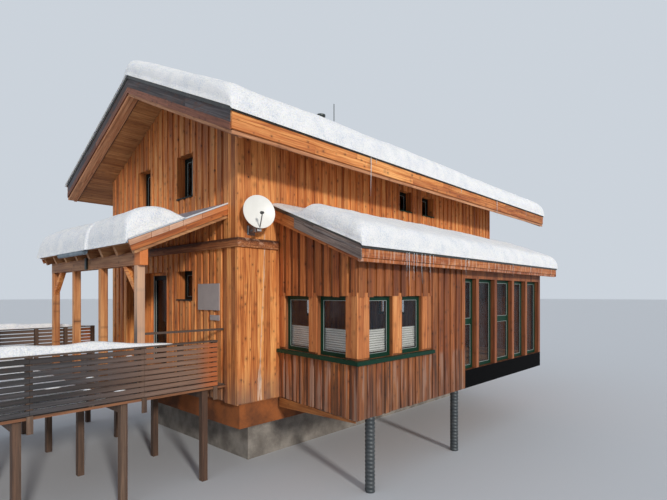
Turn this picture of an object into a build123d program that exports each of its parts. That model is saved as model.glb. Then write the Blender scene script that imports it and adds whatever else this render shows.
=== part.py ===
from build123d import *
from math import atan2, cos, sin
import os

os.makedirs("parts", exist_ok=True)

# Sizes are in millimetres. Across is X, measured from the near corner of the house.
# Depth is Y, measured from the front wall. Heights are measured from the level ground.

# Main house
house_width = 6100
house_length = 11300
wall_thickness = 300
slab_underside = 1000
wall_foot = 1500
floor_level = 1950
storey_joint = 4740
upper_floor_level = 4830
upper_floor_thickness = 250
slab_inset = 60
plinth_wall = 300
plinth_inset = 850

# Main roof, a gable with its ridge along Y
ridge_top = 8720
roof_slope = 0.45
roof_depth = 450
eave_overhang = 1050
front_overhang = 880
rear_overhang = 2640
metal_thickness = 30
metal_lip = 70
metal_edge = 20
fascia_thickness = 45
fascia_height = 330
verge_thickness = 50
verge_upper_height = 250
verge_lower_thickness = 30

# Corner boards and belt beam
corner_board_depth = 45
upper_corner_width = 300
lower_corner_width = 420
belt_bottom = 4650
belt_top = 4830
belt_depth = 80

# Openings in the walls: left, right, bottom, top
opening_head = 4240
door_left = -4090
door_right = -2930
tall_window = (-5160, -4500, floor_level, opening_head)
small_window = (-2400, -1750, 3560, opening_head)
gable_windows = [(-4420, -3760, 5880, 6880), (-2400, -1720, 5880, 6880)]
rear_windows = [(-4420, -3760, 5880, 6880), (-2400, -1720, 5880, 6880),
                (-5000, -3600, 2850, opening_head), (-2400, -1750, 3560, opening_head)]
side_windows = [(5470, 6090, 6080, 6690), (6670, 7290, 6080, 6690)]
left_windows = [(5470, 6090, 6080, 6690), (6670, 7290, 6080, 6690),
                (2400, 3500, 2850, opening_head), (7400, 8500, 2850, opening_head)]
window_recess = 180
frame_depth = 70
frame_width = 60
glass_thickness = 24
sill_thickness = 30
sill_nose = 45

# Entrance door
door_frame_width = 60
door_frame_depth = 70
door_recess = 205
leaf_thickness = 60
leaf_gap = 5
leaf_lock_gap = 8
leaf_stile = 110
hinge_radius = 10
hinge_height = 100
hinge_inset = 250
hinge_gap = 0.5
pin_radius = 5
hinge_plate = 4
hinge_plate_reach = 40
handle_radius = 15
handle_length = 620
handle_standoff = 45

# Side annex, whose front wall runs a little askew
annex_width = 2500
annex_front_inner = 1050
annex_front_outer = 680
annex_rear = 9430
annex_wall = 200
annex_wall_foot = 1510
annex_floor_underside = 1440
annex_side_split = 4520
annex_window_bottom = 2550
annex_window_top = 3670
annex_window_recess = 60
annex_frame_depth = 60
annex_front_windows = [(250, 1100), (1390, 2220)]
annex_side_windows = [(1000, 1690), (2000, 2700)]
annex_roof_top = 5590
annex_roof_slope = 0.375
annex_roof_depth = 300
annex_eave_overhang = 300
annex_verge_overhang = 205
annex_rear_overhang = 540
annex_fascia_height = 290
annex_sill_height = 70
annex_sill_reach = 100
annex_sill_end = 3070
passage_start = 1500
passage_end = 9200
passage_top = 4250

# Glazed rear part of the annex
base_band_top = 1930
glazing_head = 4080
glazing_post = 140
glazing_post_depth = 110
glazing_posts = [5140, 6170, 7280, 8230, 9290]
transom_height = 3000
transom_width = 110
transom_bays = (0, 2)
blind_bottom = 2660
blind_top = 3050
blind_thickness = 12

# Concrete columns under the annex
column_radius = 95
column_across = 2200
column_front = 1400
column_behind_split = 80
column_depths = [column_front, annex_side_split + column_behind_split]

# Front porch
porch_left = -5340
porch_right = -310
porch_roof_top = 5570
porch_slope = 0.445
porch_reach = 2050
porch_board = 60
porch_metal = 25
porch_metal_edge = 5
porch_verge_thickness = 40
porch_verge_height = 215
rafter_width = 100
rafter_height = 220
rafter_reach = 1990
rafter_count = 8
porch_beam_front = 1815
porch_beam_thickness = 150
porch_beam_bottom = 4220
porch_beam_left = -5250
porch_beam_right = -370
post_size = 140
post_places = [-5170, -3730, -2200, -540]
brace_thickness = 100
brace_reach = 520

# Terrace
deck_top = 1870
slat_clearance = 22
slat_start = deck_top + slat_clearance
deck_board = 45
deck_left = -6900
deck_right = -375
deck_reach = 5330
bearer_height = 180
bearer_width = 120
pier_size = 120
pier_columns = 4
pier_rows = 4
pier_left = 100
pier_right = 185
pier_near = 450
pier_far = 130
pier_pitch = (deck_right - pier_right - deck_left - pier_left) / (pier_columns - 1)
pier_places = [deck_left + pier_left + pier_pitch * column for column in range(pier_columns)]
pier_row_pitch = (deck_reach - pier_far - pier_near) / (pier_rows - 1)
pier_depths = [pier_near + pier_row_pitch * row for row in range(pier_rows)]
slat_thickness = 25
slat_height = 76
slat_pitch = 96
slat_count = 9
cap_clearance = 24
fence_top = slat_start + (slat_count - 1) * slat_pitch + slat_height + cap_clearance
fence_post_size = 90
fence_near = 300
fence_middle = 1740
fence_far = 110
fence_bays = 4
fence_pitch = (deck_reach - fence_far - fence_middle) / fence_bays
fence_post_depths = [fence_near, (fence_near + fence_middle) / 2]
fence_post_depths += [fence_middle + fence_pitch * bay for bay in range(fence_bays + 1)]
cap_rail_thickness = 30
cap_rail_width = 125
cap_overhang = 10
handrail_height = 2990
handrail_size = 40

# Snow on the roofs
snow_depth = 430
snow_set_back = 20
snow_thin = 70
snow_round = 200
annex_snow_depth = 370
annex_snow_thin = 80
annex_snow_start = 750
annex_snow_rise = 450
deck_snow_depth = 260
deck_snow_start = 2300
cap_snow_depth = 130
cap_snow_width = 150
cap_snow_start = 2000
porch_snow_depth = 480
porch_snow_end = 1000
porch_snow_rise = 750
porch_snow_fall = 200

# Things on the walls and the roof
dish_radius = 334
dish_depth = 60
dish_skin = 14
dish_across = 303
dish_along = 250
dish_height = 5323
dish_turn = 14.9
dish_tilt = 7.2
dish_drop = 330
dish_arm_height = dish_height - dish_drop
dish_arm_radius = 20
dish_stub = 100
dish_stub_radius = 16
dish_plate = (30, 200, 200)
sign_box = (-1440, -620, 3370, 3930)
plate_box = (-960, -620, 3160, 3270)
sign_thickness = 20
sign_standoff = 30
vent_radius = 90
vent_across = -1600
vent_depth = 3940
vent_top = 8790
vent_cap = 50
mast_radius = 12
mast_behind_vent = 540
mast_depth = vent_depth + mast_behind_vent
mast_top = 9260
snow_clearance = 10

# The origin is under the middle of the whole part
left_edge = -(house_width + eave_overhang + metal_edge)
right_edge = annex_width + annex_eave_overhang + metal_edge
front_edge = -deck_reach
rear_edge = house_length + rear_overhang + metal_edge
corner_x = -(left_edge + right_edge) / 2
corner_y = -(front_edge + rear_edge) / 2


def level(height):
    """A level plane, with X across and Y in depth."""
    return Plane((corner_x, corner_y, height))


def upright(depth):
    """A plane parallel to the front wall that faces forward, with X across and Y up."""
    return Plane(origin=(corner_x, corner_y + depth, 0), x_dir=(1, 0, 0), z_dir=(0, -1, 0))


def flank(across):
    """A plane parallel to the long walls that faces the annex side, with X in depth and Y up."""
    return Plane(origin=(corner_x + across, corner_y, 0), x_dir=(0, 1, 0), z_dir=(1, 0, 0))


def outline(*points, mode=Mode.ADD):
    """A filled polygon in the sketch that is being drawn."""
    return Polygon(*points, align=None, mode=mode)


def panel(left, right, bottom, top, mode=Mode.ADD):
    """A filled rectangle between two distances and two heights."""
    return outline((left, bottom), (right, bottom), (right, top), (left, top), mode=mode)


ridge = -house_width / 2
roof_span = house_width / 2 + eave_overhang


def roof_height(across, below=0):
    """Height of the main roof's top, or of a layer below it."""
    return ridge_top - below - roof_slope * abs(across - ridge)


def annex_height(across, below=0):
    """Height of the annex roof's top, or of a layer below it."""
    return annex_roof_top - below - annex_roof_slope * across


def porch_height(forward, below=0):
    """Height of the porch roof's top, or of a layer below it, at a distance before the wall."""
    return porch_roof_top - below - porch_slope * forward


def porch_timber(reach, below, height):
    """Side view of a timber under the porch roof, its outer end cut square to the slope."""
    set_back = height * porch_slope / (1 + porch_slope ** 2)
    return outline((0, porch_height(0, below)), (-reach, porch_height(reach, below)),
                   (set_back - reach, porch_height(reach - set_back, below + height)),
                   (0, porch_height(0, below + height)))


def gable_strip(upper, lower, end):
    """A gable-shaped strip between two layers of the main roof, as far as end from the ridge."""
    return outline(
        (ridge - end, roof_height(ridge - end, lower)), (ridge, ridge_top - lower),
        (ridge + end, roof_height(ridge + end, lower)), (ridge + end, roof_height(ridge + end, upper)),
        (ridge, ridge_top - upper), (ridge - end, roof_height(ridge - end, upper)))


# Foundation
with BuildPart() as foundation_slab:
    with BuildSketch(level(slab_underside)):
        panel(-house_width + slab_inset, -slab_inset, slab_inset, house_length - slab_inset)
    extrude(amount=wall_foot - slab_underside)
foundation_slab.part.label = "foundation_slab"

with BuildPart() as plinth_walls:
    with BuildSketch(level(0)):
        panel(-house_width + plinth_inset, -plinth_inset, plinth_inset, house_length - plinth_inset)
        panel(-house_width + plinth_inset + plinth_wall, -plinth_inset - plinth_wall,
              plinth_inset + plinth_wall, house_length - plinth_inset - plinth_wall, mode=Mode.SUBTRACT)
    extrude(amount=slab_underside)
plinth_walls.part.label = "plinth_walls"

# Floors
with BuildPart() as house_floors:
    with BuildSketch(level(wall_foot)):
        panel(-house_width + wall_thickness, -wall_thickness, wall_thickness, house_length - wall_thickness)
    extrude(amount=floor_level - wall_foot)
    with BuildSketch(level(upper_floor_level - upper_floor_thickness)):
        panel(-house_width + wall_thickness, -wall_thickness, wall_thickness, house_length - wall_thickness)
    extrude(amount=upper_floor_thickness)
house_floors.part.label = "house_floors"

# Front wall, split beside and over the doorway, with the threshold on the left part
with BuildPart() as front_wall_left:
    with BuildSketch(upright(0)):
        panel(-house_width, door_left, wall_foot, storey_joint)
        panel(door_left, door_right, wall_foot, floor_level)
        panel(*tall_window, mode=Mode.SUBTRACT)
    extrude(amount=-wall_thickness)
front_wall_left.part.label = "front_wall_left"

with BuildPart() as front_wall_right:
    with BuildSketch(upright(0)):
        panel(door_right, 0, wall_foot, storey_joint)
    extrude(amount=-wall_thickness)
    with BuildSketch(upright(0)):
        panel(*small_window)
    extrude(amount=-wall_thickness, mode=Mode.SUBTRACT)
front_wall_right.part.label = "front_wall_right"

with BuildPart() as front_gable_wall:
    with BuildSketch(upright(0)):
        outline((-house_width, storey_joint), (door_left, storey_joint), (door_left, opening_head),
                (door_right, opening_head), (door_right, storey_joint), (0, storey_joint),
                (0, roof_height(0, roof_depth)), (ridge, ridge_top - roof_depth),
                (-house_width, roof_height(-house_width, roof_depth)))
    extrude(amount=-wall_thickness)
    with BuildSketch(upright(0)):
        for window in gable_windows:
            panel(*window)
    extrude(amount=-wall_thickness, mode=Mode.SUBTRACT)
front_gable_wall.part.label = "front_gable_wall"

# Rear wall
with BuildPart() as rear_wall:
    with BuildSketch(upright(house_length - wall_thickness)):
        outline((-house_width, wall_foot), (0, wall_foot), (0, roof_height(0, roof_depth)),
                (ridge, ridge_top - roof_depth), (-house_width, roof_height(-house_width, roof_depth)))
    extrude(amount=-wall_thickness)
    with BuildSketch(upright(house_length - wall_thickness)):
        for window in rear_windows:
            panel(*window)
    extrude(amount=-wall_thickness, mode=Mode.SUBTRACT)
rear_wall.part.label = "rear_wall"

# Long walls. The wall towards the annex has a wide passage at the lower storey
with BuildPart() as side_wall_upper:
    with BuildSketch(upright(wall_thickness)):
        outline((-wall_thickness, passage_top), (0, passage_top), (0, roof_height(0, roof_depth)),
                (-wall_thickness, roof_height(-wall_thickness, roof_depth)))
    extrude(amount=-(house_length - 2 * wall_thickness))
    with BuildSketch(flank(0)):
        for window in side_windows:
            panel(*window)
    extrude(amount=-wall_thickness, mode=Mode.SUBTRACT)
side_wall_upper.part.label = "side_wall_upper"

with BuildPart() as side_wall_lower:
    with BuildSketch(level(wall_foot)):
        panel(-wall_thickness, 0, wall_thickness, passage_start)
        panel(-wall_thickness, 0, passage_end, house_length - wall_thickness)
    extrude(amount=passage_top - wall_foot)
side_wall_lower.part.label = "side_wall_lower"

with BuildPart() as left_wall:
    with BuildSketch(upright(wall_thickness)):
        outline((-house_width, wall_foot), (-house_width + wall_thickness, wall_foot),
                (-house_width + wall_thickness, roof_height(-house_width + wall_thickness, roof_depth)),
                (-house_width, roof_height(-house_width, roof_depth)))
    extrude(amount=-(house_length - 2 * wall_thickness))
    with BuildSketch(flank(-house_width)):
        for window in left_windows:
            panel(*window)
    extrude(amount=wall_thickness, mode=Mode.SUBTRACT)
left_wall.part.label = "left_wall"

# Corner boards above and below the belt beam
with BuildPart() as corner_boards:
    with BuildSketch(upright(0)):
        outline((-upper_corner_width, belt_top), (0, belt_top), (0, roof_height(0, roof_depth)),
                (-upper_corner_width, roof_height(-upper_corner_width, roof_depth)))
        panel(-lower_corner_width, 0, wall_foot, belt_bottom)
    extrude(amount=corner_board_depth)
corner_boards.part.label = "corner_boards"

with BuildPart() as belt_beam:
    with BuildSketch(level(belt_bottom)):
        belt_end = annex_front_inner - belt_depth
        outline((-house_width, -belt_depth), (belt_depth, -belt_depth), (belt_depth, belt_end),
                (0, belt_end), (0, 0), (-house_width, 0))
    extrude(amount=belt_top - belt_bottom)
belt_beam.part.label = "belt_beam"

# Main roof
slab_front = -front_overhang + verge_thickness
slab_length = house_length + front_overhang + rear_overhang - 2 * verge_thickness
slab_end = roof_span - fascia_thickness
with BuildPart() as main_roof_right:
    with BuildSketch(upright(slab_front)):
        outline((ridge, ridge_top - roof_depth),
                (ridge + slab_end, roof_height(ridge + slab_end, roof_depth)),
                (ridge + slab_end, roof_height(ridge + slab_end, metal_thickness)),
                (ridge, ridge_top - metal_thickness))
    extrude(amount=-slab_length)
main_roof_right.part.label = "main_roof_right"

with BuildPart() as main_roof_left:
    with BuildSketch(upright(slab_front)):
        outline((ridge, ridge_top - roof_depth),
                (ridge - slab_end, roof_height(ridge - slab_end, roof_depth)),
                (ridge - slab_end, roof_height(ridge - slab_end, metal_thickness)),
                (ridge, ridge_top - metal_thickness))
    extrude(amount=-slab_length)
main_roof_left.part.label = "main_roof_left"

# Verge boards, a tall upper board on a thinner lower one, at both gables
with BuildPart() as verge_boards:
    for face, turn in ((-front_overhang, -1), (house_length + rear_overhang, 1)):
        with BuildSketch(upright(face)):
            gable_strip(metal_thickness, metal_thickness + verge_upper_height, roof_span)
        extrude(amount=turn * verge_thickness)
        with BuildSketch(upright(face - turn * (verge_thickness - verge_lower_thickness))):
            gable_strip(metal_thickness + verge_upper_height, roof_depth, roof_span)
        extrude(amount=turn * verge_lower_thickness)
verge_boards.part.label = "verge_boards"

with BuildPart() as eave_fascias:
    for side in (-1, 1):
        inner = ridge + side * slab_end
        outer = ridge + side * roof_span
        foot = roof_height(outer, metal_thickness) - fascia_height
        with BuildSketch(upright(slab_front)):
            outline((inner, foot), (outer, foot), (outer, roof_height(outer, metal_thickness)),
                    (inner, roof_height(inner, metal_thickness)))
        extrude(amount=-slab_length)
eave_fascias.part.label = "eave_fascias"

# Entrance door: frame with its hinge knuckles, then the leaf, its glass and its handle
clear_left = door_left + door_frame_width
clear_right = door_right - door_frame_width
clear_top = opening_head - door_frame_width
leaf_left = clear_left + leaf_gap
leaf_right = clear_right - leaf_lock_gap
leaf_bottom = floor_level + leaf_lock_gap
leaf_top = clear_top - leaf_gap
leaf_back = door_recess + door_frame_depth
leaf_front = leaf_back - leaf_thickness
hinge_x = clear_left + leaf_gap / 2
hinge_y = leaf_back + hinge_radius
hinge_heights = [leaf_bottom + hinge_inset, (leaf_bottom + leaf_top) / 2, leaf_top - hinge_inset]
knuckle = hinge_height / 3

with BuildPart() as door_frame:
    with BuildSketch(upright(door_recess)):
        outline((door_left, floor_level), (clear_left, floor_level), (clear_left, clear_top),
                (clear_right, clear_top), (clear_right, floor_level), (door_right, floor_level),
                (door_right, opening_head), (door_left, opening_head))
    extrude(amount=-door_frame_depth)
    for height in hinge_heights:
        for low in (height - hinge_height / 2, height + knuckle / 2 + hinge_gap):
            with BuildSketch(level(low)):
                with Locations((hinge_x, hinge_y)):
                    Circle(hinge_radius)
                panel(clear_left - hinge_plate_reach, hinge_x, leaf_back, leaf_back + hinge_plate)
            extrude(amount=knuckle - hinge_gap)
        with BuildSketch(level(height - hinge_height / 2)):
            with Locations((hinge_x, hinge_y)):
                Circle(pin_radius)
        extrude(amount=hinge_height)
door_frame.part.label = "door_frame"

with BuildPart() as door_leaf:
    with BuildSketch(upright(leaf_front)):
        panel(leaf_left, leaf_right, leaf_bottom, leaf_top)
    extrude(amount=-leaf_thickness)
    with BuildSketch(upright(leaf_front)):
        panel(leaf_left + leaf_stile, leaf_right - leaf_stile,
              leaf_bottom + 2 * leaf_stile, leaf_top - leaf_stile)
    extrude(amount=-leaf_thickness, mode=Mode.SUBTRACT)
    for height in hinge_heights:
        with BuildSketch(level(height - knuckle / 2)):
            with Locations((hinge_x, hinge_y)):
                Circle(hinge_radius)
            panel(hinge_x, leaf_left + hinge_plate_reach, leaf_back, leaf_back + hinge_plate)
        extrude(amount=knuckle)
        with BuildSketch(level(height - knuckle / 2)):
            with Locations((hinge_x, hinge_y)):
                Circle(pin_radius + hinge_gap)
        extrude(amount=knuckle, mode=Mode.SUBTRACT)
door_leaf.part.label = "door_leaf"

with BuildPart() as door_glass:
    with BuildSketch(upright(leaf_front + (leaf_thickness - glass_thickness) / 2)):
        panel(leaf_left + leaf_stile, leaf_right - leaf_stile,
              leaf_bottom + 2 * leaf_stile, leaf_top - leaf_stile)
    extrude(amount=-glass_thickness)
door_glass.part.label = "door_glass"

handle_x = leaf_right - leaf_stile / 2
handle_middle = (leaf_bottom + leaf_top) / 2
with BuildPart() as door_handle:
    with BuildSketch(level(handle_middle - handle_length / 2)):
        with Locations((handle_x, leaf_front - handle_standoff)):
            Circle(handle_radius)
    extrude(amount=handle_length)
    with BuildSketch(upright(leaf_front)):
        for height in (handle_middle - handle_length / 3, handle_middle + handle_length / 3):
            with Locations((handle_x, height)):
                Circle(handle_radius / 2)
    extrude(amount=handle_standoff)
door_handle.part.label = "door_handle"

# Annex. Distances on its askew front wall are measured from the house
annex_turn = atan2(annex_front_inner - annex_front_outer, annex_width)
front_in = annex_wall / cos(annex_turn)
annex_tall = annex_roof_top


def annex_front(across, back=0):
    """Depth of the askew front wall's face at a distance across, or of a line behind it."""
    return annex_front_inner - (annex_front_inner - annex_front_outer) * across / annex_width + back


def askew(back):
    """A plane on the askew front wall, a distance behind its face, with X along it and Y up."""
    along = (cos(annex_turn), -sin(annex_turn), 0)
    out = (-sin(annex_turn), -cos(annex_turn), 0)
    start = (corner_x - back * out[0], corner_y + annex_front_inner - back * out[1], 0)
    return Plane(origin=start, x_dir=along, z_dir=out)


def under_annex_roof(left, right, bottom):
    """The space under the annex roof between two distances across."""
    return outline((left, bottom), (right, bottom), (right, annex_height(right, annex_roof_depth)),
                   (left, annex_height(left, annex_roof_depth)))


with BuildPart() as annex_front_wall:
    with BuildSketch(level(annex_wall_foot)):
        outline((0, annex_front(0)), (annex_width, annex_front(annex_width)),
                (annex_width, annex_front(annex_width, front_in)), (0, annex_front(0, front_in)))
    extrude(amount=annex_tall)
    with BuildSketch(upright(0)):
        under_annex_roof(0, annex_width, annex_wall_foot)
    extrude(amount=-house_length, mode=Mode.INTERSECT)
    with BuildSketch(askew(-annex_wall)):
        for left, right in annex_front_windows:
            panel(left, right, annex_window_bottom, annex_window_top)
    extrude(amount=-3 * annex_wall, mode=Mode.SUBTRACT)
annex_front_wall.part.label = "annex_front_wall"

with BuildPart() as annex_side_wall:
    with BuildSketch(upright(0)):
        under_annex_roof(annex_width - annex_wall, annex_width, annex_wall_foot)
    extrude(amount=-annex_side_split)
    with BuildSketch(level(0)):
        outline((0, 0), (annex_width, 0), (annex_width, annex_front(annex_width, front_in)),
                (0, annex_front(0, front_in)))
    extrude(amount=annex_tall, mode=Mode.SUBTRACT)
    with BuildSketch(flank(annex_width)):
        for left, right in annex_side_windows:
            panel(left, right, annex_window_bottom, annex_window_top)
    extrude(amount=-annex_wall, mode=Mode.SUBTRACT)
annex_side_wall.part.label = "annex_side_wall"

with BuildPart() as annex_glazed_frame:
    with BuildSketch(upright(annex_side_split)):
        panel(annex_width - annex_wall, annex_width, annex_wall_foot, base_band_top)
        under_annex_roof(annex_width - annex_wall, annex_width, glazing_head)
    extrude(amount=-(annex_rear - annex_side_split))
    with BuildSketch(level(base_band_top)):
        for start in glazing_posts:
            panel(annex_width - glazing_post_depth, annex_width, start, start + glazing_post)
    extrude(amount=glazing_head - base_band_top)
annex_glazed_frame.part.label = "annex_glazed_frame"

with BuildPart() as annex_rear_wall:
    with BuildSketch(upright(annex_rear - annex_wall)):
        under_annex_roof(0, annex_width - annex_wall, annex_wall_foot)
    extrude(amount=-annex_wall)
annex_rear_wall.part.label = "annex_rear_wall"

with BuildPart() as annex_floor:
    with BuildSketch(level(annex_floor_underside)):
        outline((0, annex_front(0, front_in)),
                (annex_width - annex_wall, annex_front(annex_width - annex_wall, front_in)),
                (annex_width - annex_wall, annex_rear - annex_wall), (0, annex_rear - annex_wall))
    extrude(amount=floor_level - annex_floor_underside)
    with BuildSketch(level(wall_foot)):
        panel(-wall_thickness, 0, passage_start, passage_end)
    extrude(amount=floor_level - wall_foot)
annex_floor.part.label = "annex_floor"

# Roofs of the annex and the porch. The annex roof is cut at the front along the askew verge
annex_eave = annex_width + annex_eave_overhang
annex_roof_end = annex_rear + annex_rear_overhang
verge_back = -annex_verge_overhang
board_back = verge_back + verge_thickness
fascia_back = annex_eave - fascia_thickness
with BuildPart() as lean_to_roofs:
    with BuildSketch(upright(0)):
        outline((0, annex_height(0, annex_roof_depth)),
                (fascia_back, annex_height(fascia_back, annex_roof_depth)),
                (fascia_back, annex_height(fascia_back, metal_thickness)),
                (0, annex_height(0, metal_thickness)))
    extrude(amount=-(annex_roof_end - verge_thickness))
    with BuildSketch(level(0)):
        outline((0, 0), (annex_eave, 0), (annex_eave, annex_front(annex_eave, board_back)),
                (0, annex_front(0, board_back)))
    extrude(amount=annex_tall, mode=Mode.SUBTRACT)
    with BuildSketch(flank(porch_left + porch_verge_thickness)):
        outline((0, porch_height(0, porch_metal)), (-porch_reach, porch_height(porch_reach, porch_metal)),
                (-porch_reach, porch_height(porch_reach, porch_metal + porch_board)),
                (0, porch_height(0, porch_metal + porch_board)))
    extrude(amount=porch_right - porch_left - 2 * porch_verge_thickness)
lean_to_roofs.part.label = "lean_to_roofs"

with BuildPart() as lean_to_roof_edges:
    with BuildSketch(level(0)):
        outline((0, annex_front(0, verge_back)), (annex_eave, annex_front(annex_eave, verge_back)),
                (annex_eave, annex_roof_end), (0, annex_roof_end), (0, annex_roof_end - verge_thickness),
                (fascia_back, annex_roof_end - verge_thickness),
                (fascia_back, annex_front(fascia_back, board_back)),
                (0, annex_front(0, board_back)))
    extrude(amount=annex_tall)
    with BuildSketch(upright(0)):
        outline((0, annex_height(0, annex_fascia_height)),
                (annex_eave, annex_height(annex_eave, annex_fascia_height)),
                (annex_eave, annex_height(annex_eave, metal_thickness)),
                (0, annex_height(0, metal_thickness)))
    extrude(amount=-annex_roof_end, mode=Mode.INTERSECT)
    for start in (porch_left, porch_right - porch_verge_thickness):
        with BuildSketch(flank(start)):
            porch_timber(porch_reach, porch_metal, porch_verge_height)
        extrude(amount=porch_verge_thickness)
lean_to_roof_edges.part.label = "lean_to_roof_edges"

# Metal roof sheets with lips turned down over their edges
metal_out = verge_back - metal_edge
with BuildPart() as under_sheet:
    with BuildSketch(level(0)):
        outline((0, annex_front(0, verge_back)), (annex_eave, annex_front(annex_eave, verge_back)),
                (annex_eave, annex_roof_end), (0, annex_roof_end))
    extrude(amount=annex_tall)
    with BuildSketch(upright(0)):
        outline((0, 0), (annex_eave, 0), (annex_eave, annex_height(annex_eave, metal_thickness)),
                (0, annex_height(0, metal_thickness)))
    extrude(amount=-annex_roof_end, mode=Mode.INTERSECT)

with BuildPart() as annex_sheet:
    with BuildSketch(level(0)):
        outline((0, annex_front(0, metal_out)),
                (annex_eave + metal_edge, annex_front(annex_eave + metal_edge, metal_out)),
                (annex_eave + metal_edge, annex_roof_end + metal_edge), (0, annex_roof_end + metal_edge))
    extrude(amount=annex_tall)
    with BuildSketch(upright(0)):
        outline((0, annex_height(0, metal_lip)),
                (annex_eave + metal_edge, annex_height(annex_eave + metal_edge, metal_lip)),
                (annex_eave + metal_edge, annex_height(annex_eave + metal_edge)), (0, annex_height(0)))
    extrude(amount=-(annex_roof_end + metal_edge), mode=Mode.INTERSECT)
    add(under_sheet.part, mode=Mode.SUBTRACT)

with BuildPart() as roof_metal:
    with BuildSketch(upright(-front_overhang)):
        gable_strip(0, metal_thickness, roof_span)
    extrude(amount=-(house_length + front_overhang + rear_overhang))
    for face, turn in ((-front_overhang, 1), (house_length + rear_overhang, -1)):
        with BuildSketch(upright(face)):
            gable_strip(0, metal_lip, roof_span)
        extrude(amount=turn * metal_edge)
    for side in (-1, 1):
        inner = ridge + side * roof_span
        outer = inner + side * metal_edge
        with BuildSketch(upright(-front_overhang - metal_edge)):
            outline((inner, roof_height(inner, metal_lip)), (outer, roof_height(inner, metal_lip)),
                    (outer, roof_height(outer)), (inner, roof_height(inner)))
        extrude(amount=-(house_length + front_overhang + rear_overhang + 2 * metal_edge))
    with BuildSketch(flank(porch_left - metal_edge)):
        outline((0, porch_height(0)), (-porch_reach - metal_edge, porch_height(porch_reach + metal_edge)),
                (-porch_reach - metal_edge, porch_height(porch_reach + metal_edge, metal_lip)),
                (-porch_reach, porch_height(porch_reach, metal_lip)),
                (-porch_reach, porch_height(porch_reach, porch_metal)), (0, porch_height(0, porch_metal)))
    extrude(amount=porch_right - porch_left + metal_edge + porch_metal_edge)
    add(annex_sheet.part)
roof_metal.part.label = "roof_metal"

# Windows: frames with their sills, the long sill round the annex corner, then the panes
bays = [annex_side_split] + [start + glazing_post for start in glazing_posts[:-1]]
glazed_face = flank(annex_width - glazing_post_depth)
annex_sill_bottom = annex_window_bottom - annex_sill_height
house_walls = ((upright(window_recess), -1, gable_windows + [small_window, tall_window]),
               (upright(house_length - window_recess), 1, rear_windows),
               (flank(-window_recess), -1, side_windows),
               (flank(-house_width + window_recess), 1, left_windows))
with BuildPart() as window_frames:
    for face, turn, windows in house_walls:
        with BuildSketch(face):
            for left, right, bottom, top in windows:
                panel(left, right, bottom, top)
                panel(left + frame_width, right - frame_width, bottom + frame_width, top - frame_width,
                      mode=Mode.SUBTRACT)
        extrude(amount=turn * frame_depth)
        with BuildSketch(face):
            for left, right, bottom, top in windows:
                panel(left, right, bottom, bottom + sill_thickness)
        extrude(amount=-turn * (window_recess + sill_nose))
    with BuildSketch(askew(annex_window_recess)):
        for left, right in annex_front_windows:
            panel(left, right, annex_window_bottom, annex_window_top)
            panel(left + frame_width, right - frame_width, annex_window_bottom + frame_width,
                  annex_window_top - frame_width, mode=Mode.SUBTRACT)
    extrude(amount=-annex_frame_depth)
    with BuildSketch(flank(annex_width - annex_window_recess)):
        for left, right in annex_side_windows:
            panel(left, right, annex_window_bottom, annex_window_top)
            panel(left + frame_width, right - frame_width, annex_window_bottom + frame_width,
                  annex_window_top - frame_width, mode=Mode.SUBTRACT)
    extrude(amount=-annex_frame_depth)
    with BuildSketch(glazed_face):
        for bay, (left, right) in enumerate(zip(bays, glazing_posts)):
            panel(left, right, base_band_top, glazing_head)
            panel(left + frame_width, right - frame_width, base_band_top + frame_width,
                  glazing_head - frame_width, mode=Mode.SUBTRACT)
            if bay in transom_bays:
                panel(left + frame_width, right - frame_width, transom_height, transom_height + transom_width)
    extrude(amount=-annex_frame_depth)
window_frames.part.label = "window_frames"

sill_out = -annex_sill_reach
sill_across = annex_width + annex_sill_reach
with BuildPart() as annex_window_sill:
    with BuildSketch(level(annex_sill_bottom)):
        outline((0, annex_front(0, sill_out)), (sill_across, annex_front(sill_across, sill_out)),
                (sill_across, annex_sill_end), (annex_width, annex_sill_end),
                (annex_width, annex_front(annex_width)), (0, annex_front(0)))
    extrude(amount=annex_sill_height)
annex_window_sill.part.label = "annex_window_sill"

pane_inset = (frame_depth - glass_thickness) / 2
annex_pane_inset = (annex_frame_depth - glass_thickness) / 2
with BuildPart() as window_panes:
    for face, turn, windows in house_walls:
        with BuildSketch(face.offset(turn * pane_inset)):
            for left, right, bottom, top in windows:
                panel(left + frame_width, right - frame_width, bottom + frame_width, top - frame_width)
        extrude(amount=turn * glass_thickness)
    with BuildSketch(askew(annex_window_recess + annex_pane_inset)):
        for left, right in annex_front_windows:
            panel(left + frame_width, right - frame_width, annex_window_bottom + frame_width,
                  annex_window_top - frame_width)
    extrude(amount=-glass_thickness)
    with BuildSketch(flank(annex_width - annex_window_recess - annex_pane_inset)):
        for left, right in annex_side_windows:
            panel(left + frame_width, right - frame_width, annex_window_bottom + frame_width,
                  annex_window_top - frame_width)
    extrude(amount=-glass_thickness)
    with BuildSketch(flank(annex_width - glazing_post_depth - annex_pane_inset)):
        for bay, (left, right) in enumerate(zip(bays, glazing_posts)):
            low = base_band_top + frame_width
            if bay in transom_bays:
                panel(left + frame_width, right - frame_width, low, transom_height)
                low = transom_height + transom_width
            panel(left + frame_width, right - frame_width, low, glazing_head - frame_width)
    extrude(amount=-glass_thickness)
window_panes.part.label = "window_panes"

blind_back = annex_window_recess + annex_frame_depth
with BuildPart() as annex_blinds:
    with BuildSketch(askew(blind_back)):
        for left, right in annex_front_windows:
            panel(left + frame_width / 2, right - frame_width / 2, blind_bottom, blind_top)
    extrude(amount=-blind_thickness)
    with BuildSketch(flank(annex_width - blind_back)):
        for left, right in annex_side_windows:
            panel(left + frame_width / 2, right - frame_width / 2, blind_bottom, blind_top)
    extrude(amount=-blind_thickness)
annex_blinds.part.label = "annex_blinds"

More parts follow.
